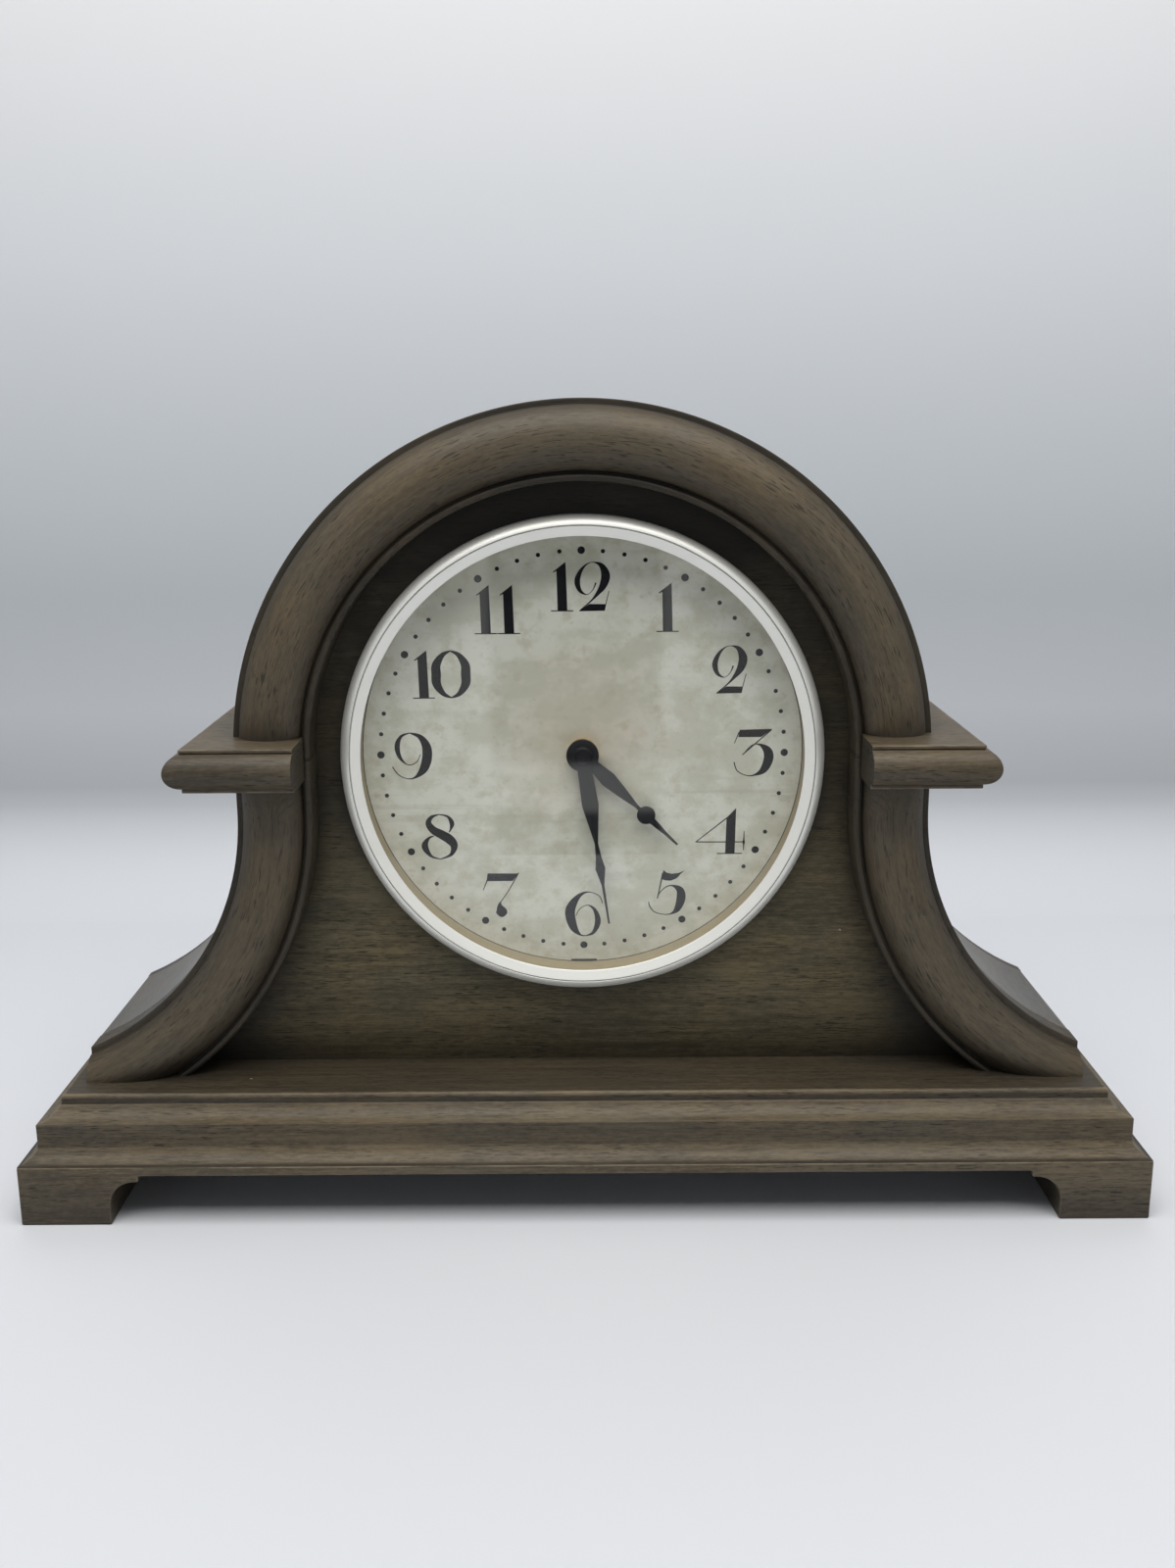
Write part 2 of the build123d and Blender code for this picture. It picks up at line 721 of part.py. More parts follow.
with BuildPart() as movement_case:
    brick((-chamber_half, movement_front, partition_z), (chamber_half, cover_front, movement_top))
    brick((-bay_half, movement_front, movement_bottom), (bay_half, cover_front, partition_z))
    brick((-chamber_half + movement_wall, chamber_front, partition_z + movement_wall),
          (chamber_half - movement_wall, cover_front + overrun, movement_top - movement_wall),
          Mode.SUBTRACT)
    brick((-bay_half + movement_wall, chamber_front, movement_bottom + movement_wall),
          (bay_half - movement_wall, cover_front + overrun, partition_z), Mode.SUBTRACT)
    rod(centre_place, bush_radius + glue_gap, movement_front - overrun, chamber_front + overrun,
        Mode.SUBTRACT)
    for place in train_places:
        rod(place, arbor_radius + shaft_clearance, pivot_front - shaft_clearance, chamber_front + overrun,
            Mode.SUBTRACT)
    rod(motion_place, motion_arbor_radius + shaft_clearance, pivot_front - shaft_clearance,
        chamber_front + overrun, Mode.SUBTRACT)
    for place in post_places:
        rod(place, post_radius, chamber_front, stator_front)

with BuildPart() as movement_cover:
    brick((-chamber_half, cover_front, partition_z), (chamber_half, movement_back, movement_top))
    for place in train_places + (centre_place,):
        rod(place, arbor_radius + shaft_clearance, cover_front - overrun, pivot_back + shaft_clearance,
            Mode.SUBTRACT)
    rod(motion_place, motion_arbor_radius + shaft_clearance, cover_front - overrun,
        movement_back + overrun, Mode.SUBTRACT)

with BuildPart() as movement_gasket:
    rod(centre_place, gasket_radius, panel_back, movement_front)
    rod(centre_place, bush_radius + bush_clearance, panel_back - overrun, movement_front + overrun,
        Mode.SUBTRACT)

with BuildPart() as threaded_bush:
    rod(centre_place, bush_radius, bush_front, chamber_front)
    rod(centre_place, bush_flange_radius, chamber_front, chamber_front + bush_flange)
    rod(centre_place, bush_bore, bush_front - overrun, chamber_front + bush_flange + overrun, Mode.SUBTRACT)

with BuildPart() as bush_washer:
    rod(centre_place, washer_radius, washer_front, dial_front)
    rod(centre_place, bush_radius + glue_gap, washer_front - overrun, dial_front + overrun, Mode.SUBTRACT)

with BuildPart() as bush_nut:
    with BuildSketch(facing(washer_front)):
        with Locations(centre_place):
            RegularPolygon(nut_flats / 2, 6, major_radius=False)
            Circle(bush_radius + glue_gap, mode=Mode.SUBTRACT)
    extrude(amount=nut_thickness)

# Battery on its side between two contact plates
battery_end = battery_length / 2
contact_face = battery_end + contact_thickness

with BuildPart() as battery:
    with BuildSketch(Plane.YZ.offset(-battery_end)):
        with Locations((battery_y, battery_z)):
            Circle(battery_radius)
    extrude(amount=battery_length - battery_nub)
    with BuildSketch(Plane.YZ.offset(battery_end - battery_nub)):
        with Locations((battery_y, battery_z)):
            Circle(battery_nub_radius)
    extrude(amount=battery_nub)

with BuildPart() as battery_contacts:
    for face in (-contact_face, battery_end):
        brick((face, chamber_front, battery_z - contact_width / 2),
              (face + contact_thickness, battery_y + battery_nub_radius, battery_z + contact_width / 2))

# Circuit board flat on the front plate, coil and stator on their posts
with BuildPart() as circuit_board:
    board_left = -chamber_half + movement_wall + seat_clearance
    board_top = movement_top - movement_wall - seat_clearance
    brick((board_left, chamber_front, board_top - board_height),
          (board_left + board_width, chamber_front + board_thickness, board_top))

with BuildPart() as stator:
    with BuildSketch(facing(stator_front + stator_thickness)):
        with Locations(rotor_place):
            Rectangle(2 * stator_half, 2 * stator_half)
        with Locations((coil_x, (coil_top + stator_foot) / 2)):
            Rectangle(coil_core_width, coil_top - stator_foot)
        with Locations(rotor_place):
            Circle(rotor_radius + stator_hole_clearance, mode=Mode.SUBTRACT)
    extrude(amount=stator_thickness)

with BuildPart() as coil:
    coil_y = stator_front + stator_thickness / 2
    with BuildSketch(Plane.XY.offset(coil_top - coil_length)):
        with Locations((coil_x, coil_y)):
            Circle(coil_radius)
            Rectangle(coil_core_width + 2 * glue_gap, stator_thickness + 2 * glue_gap, mode=Mode.SUBTRACT)
    extrude(amount=coil_length)

# Hands and what turns them
with BuildPart() as minute_arbor:
    rod(centre_place, minute_arbor_radius, cap_front, cover_front - shaft_clearance)
    rod(centre_place, arbor_radius, cover_front - shaft_clearance, pivot_back)
    toothed(centre_place, cannon_teeth, motion_module, 0, motion_layer - pinion_margin,
            motion_layer + wheel_thickness + pinion_margin)

with BuildPart() as hour_wheel:
    toothed(centre_place, hour_wheel_teeth, hour_module, 0, hour_layer, hour_layer + wheel_thickness)
    rod(centre_place, hour_pipe_radius, hour_hand_front, hour_layer)
    rod(centre_place, hour_pipe_bore, hour_hand_front - overrun, hour_layer + wheel_thickness + overrun,
        Mode.SUBTRACT)

with BuildPart() as motion_wheel:
    toothed(motion_place, motion_wheel_teeth, motion_module, gap_phase(0, motion_wheel_teeth),
            motion_layer, motion_layer + wheel_thickness)
    toothed(motion_place, motion_pinion_teeth, hour_module, gap_phase(0, motion_pinion_teeth),
            hour_layer - pinion_margin, motion_layer)
    rod(motion_place, motion_arbor_radius, pivot_front, movement_back + knob_gap + knob_height)

with BuildPart() as setting_knob:
    knob_front = movement_back + knob_gap
    knob_back = knob_front + knob_height
    corners = []
    for flute in range(knob_flutes):
        for share, radius in ((0, knob_radius), (knob_valley_share, knob_radius * (1 - knob_flute_share))):
            corners.append(stepped(motion_place, 360 / knob_flutes * (flute + share), radius))
    with BuildSketch(facing(knob_back)):
        with BuildLine():
            Polyline(*corners, close=True)
        make_face()
        with Locations(motion_place):
            Circle(motion_arbor_radius + press_gap, mode=Mode.SUBTRACT)
    extrude(amount=knob_height)


def train_wheel(place, teeth, phase, layer):
    toothed(place, teeth, train_module, phase, layer, layer + wheel_thickness)


def train_pinion(place, teeth, phase, layer):
    toothed(place, teeth, train_module, phase, layer - pinion_margin,
            layer + wheel_thickness + pinion_margin)


with BuildPart() as centre_wheel:
    train_wheel(centre_place, centre_wheel_teeth, third_direction, centre_layer)
    rod(centre_place, minute_arbor_radius + shaft_clearance, centre_layer - overrun,
        centre_layer + wheel_thickness + overrun, Mode.SUBTRACT)

with BuildPart() as third_wheel:
    train_pinion(third_place, train_pinion_teeth, gap_phase(third_direction, train_pinion_teeth),
                 centre_layer)
    train_wheel(third_place, train_wheel_teeth, second_direction, third_layer)
    rod(third_place, arbor_radius, pivot_front, pivot_back)

with BuildPart() as second_wheel:
    train_pinion(second_place, train_pinion_teeth, gap_phase(second_direction, train_pinion_teeth),
                 third_layer)
    train_wheel(second_place, train_wheel_teeth, intermediate_direction, second_layer)
    rod(second_place, arbor_radius, pivot_front, pivot_back)

with BuildPart() as intermediate_wheel:
    train_pinion(intermediate_place, intermediate_pinion_teeth,
                 gap_phase(intermediate_direction, intermediate_pinion_teeth), second_layer)
    train_wheel(intermediate_place, train_wheel_teeth, rotor_direction, intermediate_layer)
    rod(intermediate_place, arbor_radius, pivot_front, pivot_back)

with BuildPart() as rotor:
    train_pinion(rotor_place, rotor_pinion_teeth, gap_phase(rotor_direction, rotor_pinion_teeth),
                 intermediate_layer)
    rod(rotor_place, rotor_radius, rotor_front, rotor_front + rotor_height)
    rod(rotor_place, arbor_radius, pivot_front, pivot_back)


def hand_blade(angle, length, belly, leaf_shares, point_shares, front, back):
    # Blade pointing up from the dial's centre, then turned clockwise to its time
    leaf = [(across * belly / 2, along * length) for along, across in leaf_shares]
    point = [(across * belly / 2, along * length) for along, across in point_shares]
    turn = math.radians(angle)
    plane = Plane(origin=(0, back, dial_z), x_dir=(math.cos(turn), 0, -math.sin(turn)), z_dir=(0, -1, 0))
    with BuildSketch(plane) as blade:
        with BuildLine():
            Spline(*leaf)
            Polyline(leaf[-1], *point)
            Line(point[-1], (0, point[-1][1]))
            Line((0, 0), leaf[0])
            mirror(about=Plane.YZ)
        make_face()
    extrude(blade.sketch, amount=back - front)


with BuildPart() as minute_hand:
    hand_blade(minute_angle, minute_length, minute_belly, minute_leaf_shares, minute_point_shares,
               minute_hand_front, minute_hand_back)
    rod(centre_place, hub_radius, minute_hand_front, minute_hand_back)
    rod(centre_place, minute_arbor_radius + press_gap, minute_hand_front - overrun,
        minute_hand_back + overrun, Mode.SUBTRACT)

with BuildPart() as hour_hand:
    hand_blade(hour_angle, hour_length, hour_belly, hour_leaf_shares, hour_point_shares,
               hour_hand_front, hour_hand_back)
    rod(centre_place, hub_radius, hour_hand_front, hour_hand_back)
    disc_place = stepped(centre_place, 90 - hour_angle, hour_length * hour_leaf_shares[-1][0])
    rod(disc_place, hour_disc_radius, hour_hand_front, hour_hand_back)
    rod(centre_place, hour_pipe_radius + press_gap, hour_hand_front - overrun,
        hour_hand_back + overrun, Mode.SUBTRACT)

with BuildPart() as hand_cap:
    rod(centre_place, cap_radius, cap_front, minute_hand_front)
    rod(centre_place, minute_arbor_radius + press_gap, cap_front - overrun, minute_hand_front + overrun,
        Mode.SUBTRACT)

pieces = {
    "foot_plinth": foot_plinth,
    "base_moulding": base_moulding,
    "corner_blocks": corner_blocks,
    "base_screws": base_screws,
    "front_panel": front_panel,
    "hood": hood,
    "left_side": left_side,
    "right_side": right_side,
    "back_panel": back_panel,
    "back_screws": back_screws,
    "arch_moulding": arch_moulding,
    "left_leg_moulding": left_leg_moulding,
    "right_leg_moulding": right_leg_moulding,
    "left_shelf": left_shelf,
    "right_shelf": right_shelf,
    "bezel_ring": bezel_ring,
    "glass_lens": glass_lens,
    "dial_spacer": dial_spacer,
    "dial_paper": dial_paper,
    "dial_plate": dial_plate,
    "dial_backing": dial_backing,
    "retaining_ring": retaining_ring,
    "retaining_screws": retaining_screws,
    "movement_case": movement_case,
    "movement_cover": movement_cover,
    "movement_gasket": movement_gasket,
    "threaded_bush": threaded_bush,
    "bush_washer": bush_washer,
    "bush_nut": bush_nut,
    "battery": battery,
    "battery_contacts": battery_contacts,
    "circuit_board": circuit_board,
    "stator": stator,
    "coil": coil,
    "minute_arbor": minute_arbor,
    "minute_hand": minute_hand,
    "hand_cap": hand_cap,
    "hour_wheel": hour_wheel,
    "hour_hand": hour_hand,
    "motion_wheel": motion_wheel,
    "setting_knob": setting_knob,
    "centre_wheel": centre_wheel,
    "third_wheel": third_wheel,
    "second_wheel": second_wheel,
    "intermediate_wheel": intermediate_wheel,
    "rotor": rotor,
}

os.makedirs("parts", exist_ok=True)
for name, piece in pieces.items():
    piece.part.label = name
    export_step(piece.part, f"parts/{name}.step")
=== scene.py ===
import math

import bmesh
import bpy
from mathutils import Matrix, Vector


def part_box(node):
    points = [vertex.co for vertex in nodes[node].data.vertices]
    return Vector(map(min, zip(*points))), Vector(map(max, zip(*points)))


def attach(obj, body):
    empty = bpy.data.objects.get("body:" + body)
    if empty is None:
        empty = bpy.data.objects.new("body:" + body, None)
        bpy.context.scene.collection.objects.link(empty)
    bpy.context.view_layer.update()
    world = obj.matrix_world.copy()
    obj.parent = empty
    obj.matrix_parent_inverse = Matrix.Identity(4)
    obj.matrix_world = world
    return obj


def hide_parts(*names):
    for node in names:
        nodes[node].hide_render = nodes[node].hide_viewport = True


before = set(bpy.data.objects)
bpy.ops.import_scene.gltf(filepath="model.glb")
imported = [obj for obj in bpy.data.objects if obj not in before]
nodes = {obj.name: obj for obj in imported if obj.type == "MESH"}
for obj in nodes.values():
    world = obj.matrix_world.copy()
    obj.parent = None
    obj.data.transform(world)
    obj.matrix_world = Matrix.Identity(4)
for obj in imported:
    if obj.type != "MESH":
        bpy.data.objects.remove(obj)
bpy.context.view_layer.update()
mm = 0.001

# Places read from the frame
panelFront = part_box("front_panel")[0].y
hoodLow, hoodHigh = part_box("hood")
footLow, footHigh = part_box("foot_plinth")
baseLow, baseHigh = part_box("base_moulding")
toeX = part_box("right_side")[1].x
archRadius = hoodHigh.x
springZ = hoodLow.z
skinBack = hoodHigh.y
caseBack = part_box("back_panel")[1].y
baseTop = baseHigh.z
archCentre = Vector((0, 0, springZ))
dialLow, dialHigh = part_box("glass_lens")
dialCentre = Vector((0, 0, (dialLow.z + dialHigh.z) / 2))
print("frame loaded:", len(nodes), "nodes")


# Mesh helpers

def turnSense(outline):
    # 1 for an outline drawn anticlockwise, -1 for a clockwise one
    area = sum(a[0] * b[1] - b[0] * a[1] for a, b in zip(outline, outline[1:] + outline[:1]))
    return math.copysign(1, area)


def softened(outline, radius, hold):
    # Rounds sharp corners; each point is (x, y, mark): 1 on an arris, -1 in a crevice with glaze and painted
    # shade, 0 on plain wood
    cornerAngle = math.radians(26)
    cornerSteps = 3
    trimShare, holdShare, holdMargin = 0.43, 0.45, 1.1
    sense = turnSense(outline)
    points = []
    for index, corner in enumerate(outline):
        here = Vector(corner)
        inDirection = here - Vector(outline[index - 1])
        outDirection = Vector(outline[(index + 1) % len(outline)]) - here
        inLength, outLength = inDirection.length, outDirection.length
        cross = inDirection.x * outDirection.y - inDirection.y * outDirection.x
        turn = math.atan2(cross, inDirection.dot(outDirection))
        if abs(turn) < cornerAngle:
            points.append((here.x, here.y, 0))
            continue
        wearAndShade = math.copysign(1, turn * sense)
        inDirection.normalize()
        outDirection.normalize()
        trim = min(radius, trimShare * inLength, trimShare * outLength)
        inHold, outHold = min(hold, holdShare * inLength), min(hold, holdShare * outLength)
        if inHold > holdMargin * trim:
            held = here - inDirection * inHold
            points.append((held.x, held.y, 0))
        start, end = here - inDirection * trim, here + outDirection * trim
        for step in range(cornerSteps + 1):
            share = step / cornerSteps
            spot = start * (1 - share) ** 2 + here * 2 * share * (1 - share) + end * share ** 2
            points.append((spot.x, spot.y, wearAndShade))
        if outHold > holdMargin * trim:
            held = here + outDirection * outHold
            points.append((held.x, held.y, 0))
    return points


def arcThrough(start, middle, end, steps):
    # Points on the circle through three places, without the last one
    ax, ay = start
    bx, by = middle
    cx, cy = end
    d = 2 * (ax * (by - cy) + bx * (cy - ay) + cx * (ay - by))
    a2, b2, c2 = ax * ax + ay * ay, bx * bx + by * by, cx * cx + cy * cy
    ux = (a2 * (by - cy) + b2 * (cy - ay) + c2 * (ay - by)) / d
    uy = (a2 * (cx - bx) + b2 * (ax - cx) + c2 * (bx - ax)) / d
    radius = math.hypot(ax - ux, ay - uy)
    startAngle = math.atan2(ay - uy, ax - ux)
    sweep = math.atan2(cy - uy, cx - ux) - startAngle
    sweep = (sweep + math.pi) % (2 * math.pi) - math.pi
    return [(ux + radius * math.cos(startAngle + sweep * k / steps),
             uy + radius * math.sin(startAngle + sweep * k / steps)) for k in range(steps)]


def bowed(start, corner, end, steps):
    # Moulding curve from start to end that bows towards the corner
    bowShare = 0.3
    middle = [(a + b) / 2 for a, b in zip(start, end)]
    bow = [a + (c - a) * bowShare for a, c in zip(middle, corner)]
    return arcThrough(start, bow, end, steps)


def shrunk(outline, inset):
    # The outline moved inwards by an equal distance
    leastShare, leastLength = 0.3, 1e-9
    sense = turnSense(outline)
    moved = []
    for index, point in enumerate(outline):
        before, after = outline[index - 1], outline[(index + 1) % len(outline)]
        normals = []
        for a, b in ((before, point), (point, after)):
            length = math.hypot(b[0] - a[0], b[1] - a[1])
            normals.append(Vector((a[1] - b[1], b[0] - a[0])) * sense / max(length, leastLength))
        across = normals[0] + normals[1]
        across *= inset / max(across.dot(normals[0]), leastShare)
        moved.append((point[0] + across.x, point[1] + across.y))
    return moved


def newMesh(name, verts, faces):
    mesh = bpy.data.meshes.new(name)
    mesh.from_pydata(verts, [], faces)
    return mesh


def newPiece(name, mesh):
    piece = bpy.data.objects.new(name, mesh)
    bpy.context.scene.collection.objects.link(piece)
    return piece


def faceOutwards(mesh, mergeDistance=0.0):
    # Joins points that coincide and turns every face outwards
    tidied = bmesh.new()
    tidied.from_mesh(mesh)
    if mergeDistance:
        bmesh.ops.remove_doubles(tidied, verts=tidied.verts, dist=mergeDistance)
    bmesh.ops.recalc_face_normals(tidied, faces=tidied.faces)
    tidied.to_mesh(mesh)
    tidied.free()


def loft(name, rings, wearAndShade, capped=True, looped=False, faceMark=None):
    # Skin over rings of equal count; wearAndShade holds one mark for each point, faceMark that of flat ends
    size = len(rings[0])
    faces = []
    for k in range(len(rings) if looped else len(rings) - 1):
        low, high = k * size, (k + 1) % len(rings) * size
        for i in range(size):
            j = (i + 1) % size
            faces.append((low + i, low + j, high + j, high + i))
    if capped:
        faces.append(tuple(range(size)))
        faces.append(tuple(range((len(rings) - 1) * size, len(rings) * size)))
    mesh = newMesh(name, [spot for ring in rings for spot in ring], faces)
    values = [float(mark) for ring in wearAndShade for mark in ring]
    marks = mesh.attributes.new("wearAndShade", "FLOAT", "CORNER")
    spread = [values[loop.vertex_index] for loop in mesh.loops]
    if faceMark is not None:
        for face in mesh.polygons[-2:]:
            for corner in face.loop_indices:
                spread[corner] = faceMark
    marks.data.foreach_set("value", spread)
    faceOutwards(mesh, mergeDistance=1e-7)
    mesh.shade_smooth()
    for face in mesh.polygons:
        face.use_smooth = len(face.vertices) <= 4
    return newPiece(name, mesh)


def board(name, outline, front, back, arris, hold):
    # Outline in X and Z carried through from front to back, with eased edges
    # Upright corners stay rounder than the rim's inset, so that the rim never crosses itself
    roundness, easeShare = 1.7, 0.3
    points = softened(outline, roundness * arris, hold)
    flat = [(x, z) for x, z, mark in points]
    ease = easeShare * arris
    layers = [(arris, front, 1), (ease, front + ease, 1), (0, front + arris, 1), (0, front + hold, 0),
              (0, back - hold, 0), (0, back - arris, 1), (ease, back - ease, 1), (arris, back, 1)]
    rings = []
    wearAndShade = []
    for inset, depth, rim in layers:
        rings.append([(x, depth, z) for x, z in shrunk(flat, inset)])
        wearAndShade.append([max(rim, mark) for x, z, mark in points])
    return loft(name, rings, wearAndShade, faceMark=0)


def turnedRing(name, section, centre, steps, start=0.0, sweep=2 * math.pi):
    # Section of (radius, depth, mark) carried round an axis along Y
    whole = sweep > 2 * math.pi - 1e-6
    rings = []
    for k in range(steps if whole else steps + 1):
        angle = start + sweep * k / steps
        rings.append([(centre.x + r * math.cos(angle), depth, centre.z + r * math.sin(angle))
                      for r, depth, mark in section])
    wearAndShade = [[mark for r, depth, mark in section]] * len(rings)
    return loft(name, rings, wearAndShade, capped=not whole, looped=whole)


def layGrain(piece, rule):
    # Stores the wood's own directions: along the grain, across it, and depth
    mesh = piece.data
    grain = mesh.attributes.new("grain", "FLOAT_VECTOR", "CORNER")
    values = [0.0] * (3 * len(mesh.loops))
    for face in mesh.polygons:
        for corner in face.loop_indices:
            spot = mesh.vertices[mesh.loops[corner].vertex_index].co
            values[3 * corner:3 * corner + 3] = rule(spot, face.normal)
    grain.data.foreach_set("vector", values)


def standsFor(piece, replaced, body, material):
    piece.data.materials.clear()
    piece.data.materials.append(material)
    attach(piece, body)
    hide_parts(replaced)
    return piece


# Shader helpers

def newMaterial(name):
    material = bpy.data.materials.new(name)
    material.use_nodes = True
    tree = material.node_tree
    return material, tree, tree.nodes["Principled BSDF"]


def node(tree, kind, settings=None, **values):
    # Adds a node, sets its options, then its unlinked inputs by name
    made = tree.nodes.new("ShaderNode" + kind)
    for key, value in (settings or {}).items():
        setattr(made, key, value)
    for key, value in values.items():
        made.inputs[key.replace("_", " ")].default_value = value
    return made


def math2(tree, operation, first, second):
    made = node(tree, "Math", {"operation": operation})
    for socket, value in zip(made.inputs, (first, second)):
        if isinstance(value, (int, float)):
            socket.default_value = value
        else:
            tree.links.new(value, socket)
    return made.outputs[0]


def ramp(tree, value, low, high, toLow=0.0, toHigh=1.0):
    made = node(tree, "MapRange", {"interpolation_type": "SMOOTHSTEP"})
    for socket, number in zip(made.inputs[1:5], (low, high, toLow, toHigh)):
        socket.default_value = number
    tree.links.new(value, made.inputs[0])
    return made.outputs[0]


def noise(tree, vector, stretch, detail=3.0, rough=0.55, shift=0.0):
    # Noise with its own scale along each direction, in features for each metre
    scaled = node(tree, "Mapping", Scale=stretch, Location=(shift, shift, shift))
    tree.links.new(vector, scaled.inputs["Vector"])
    made = node(tree, "TexNoise", Scale=1.0, Detail=detail, Roughness=rough)
    tree.links.new(scaled.outputs[0], made.inputs["Vector"])
    return made.outputs[0]


def mixColour(tree, share, first, second, blend="MIX"):
    made = node(tree, "Mix", {"data_type": "RGBA", "blend_type": blend})
    for socket, value in ((made.inputs[0], share), (made.inputs[6], first), (made.inputs[7], second)):
        if isinstance(value, (int, float)):
            socket.default_value = value
        elif isinstance(value, tuple):
            socket.default_value = value + (1.0,) if len(value) == 3 else value
        else:
            tree.links.new(value, socket)
    return made.outputs[2]


def newGroup(name, inputs, outputs):
    tree = bpy.data.node_groups.new(name, "ShaderNodeTree")
    for label, kind, value in inputs:
        socket = tree.interface.new_socket(label, in_out="INPUT", socket_type="NodeSocket" + kind)
        if value is not None:
            socket.default_value = value
    for label, kind in outputs:
        tree.interface.new_socket(label, in_out="OUTPUT", socket_type="NodeSocket" + kind)
    return tree, tree.nodes.new("NodeGroupInput").outputs, tree.nodes.new("NodeGroupOutput").inputs


def useGroup(tree, group, **values):
    made = tree.nodes.new("ShaderNodeGroup")
    made.node_tree = group
    for key, value in values.items():
        made.inputs[key].default_value = value
    return made


def between(tree, share, low, high):
    # The value at this share of the way between two given ones
    made = node(tree, "MapRange")
    for label, source in (("Value", share), ("To Min", low), ("To Max", high)):
        tree.links.new(source, made.inputs[label])
    return made.outputs[0]


def giveOut(tree, out, colour, roughness, height):
    for label, source in (("Color", colour), ("Roughness", roughness), ("Height", height)):
        tree.links.new(source, out[label])
    return tree


def bumped(tree, shader, height, strength, distance):
    bump = node(tree, "Bump", Strength=strength, Distance=distance)
    tree.links.new(height, bump.inputs["Height"])
    tree.links.new(bump.outputs[0], shader.inputs["Normal"])


def letThrough(tree, shader, share):
    # Mixes the surface with clear transparency by this share
    clear = node(tree, "BsdfTransparent")
    mixed = node(tree, "MixShader")
    for socket, source in zip(mixed.inputs, (share, shader.outputs[0], clear.outputs[0])):
        tree.links.new(source, socket)
    tree.links.new(mixed.outputs[0], tree.nodes["Material Output"].inputs["Surface"])


# Shared effects

surfaceOutputs = [("Color", "Color"), ("Roughness", "Float"), ("Height", "Float")]

# Features for each metre along the grain, across it and in depth, then detail, roughness and shift
woodNoises = {
    "streaks": ((22, 520, 300), 4, 0.62, 0.0), "fibres": ((150, 2600, 1800), 2, 0.6, 3.1),
    "clouds": ((15, 28, 22), 4, 0.6, 7.7), "patches": ((24, 46, 30), 3, 0.6, 2.3),
    "dashes": ((190, 1900, 1300), 1.0, 0.5, 1.3), "clusters": ((30, 90, 60), 2, 0.5, 8.4),
    "speckle": ((330, 760, 760), 3, 0.7, 4.6), "wear": ((60, 160, 160), 4, 0.65, 5.9),
    "nicks": ((170, 260, 260), 1.0, 0.4, 11.7)}
woodTone = {"streaks": 0.34, "clouds": 0.32, "fibres": 0.28, "speckle": 0.30}

# Where each effect of the wood begins and ends, then what it gives there
woodLimits = {
    "pores": (0.59, 0.68), "clusters": (0.36, 0.62, 0.3, 1.0), "patches": (0.32, 0.68),
    "tone": (0.48, 0.76, -0.38, 0.38), "shade": (0.35, 0.95, 1.0, 0.0), "uneven": (0.3, 0.62, 0.65, 1.0),
    "wear": (0.36, 0.62), "nicks": (0.835, 0.85, 0.0, 0.7), "sheen": (0.3, 0.7, 0.42, 0.5)}
woodShares = {"tone": 0.92, "rubbedAndLit": 0.72, "poreSheen": 0.2, "fibreHeight": 0.25}
nickColour = (0.42, 0.39, 0.33)


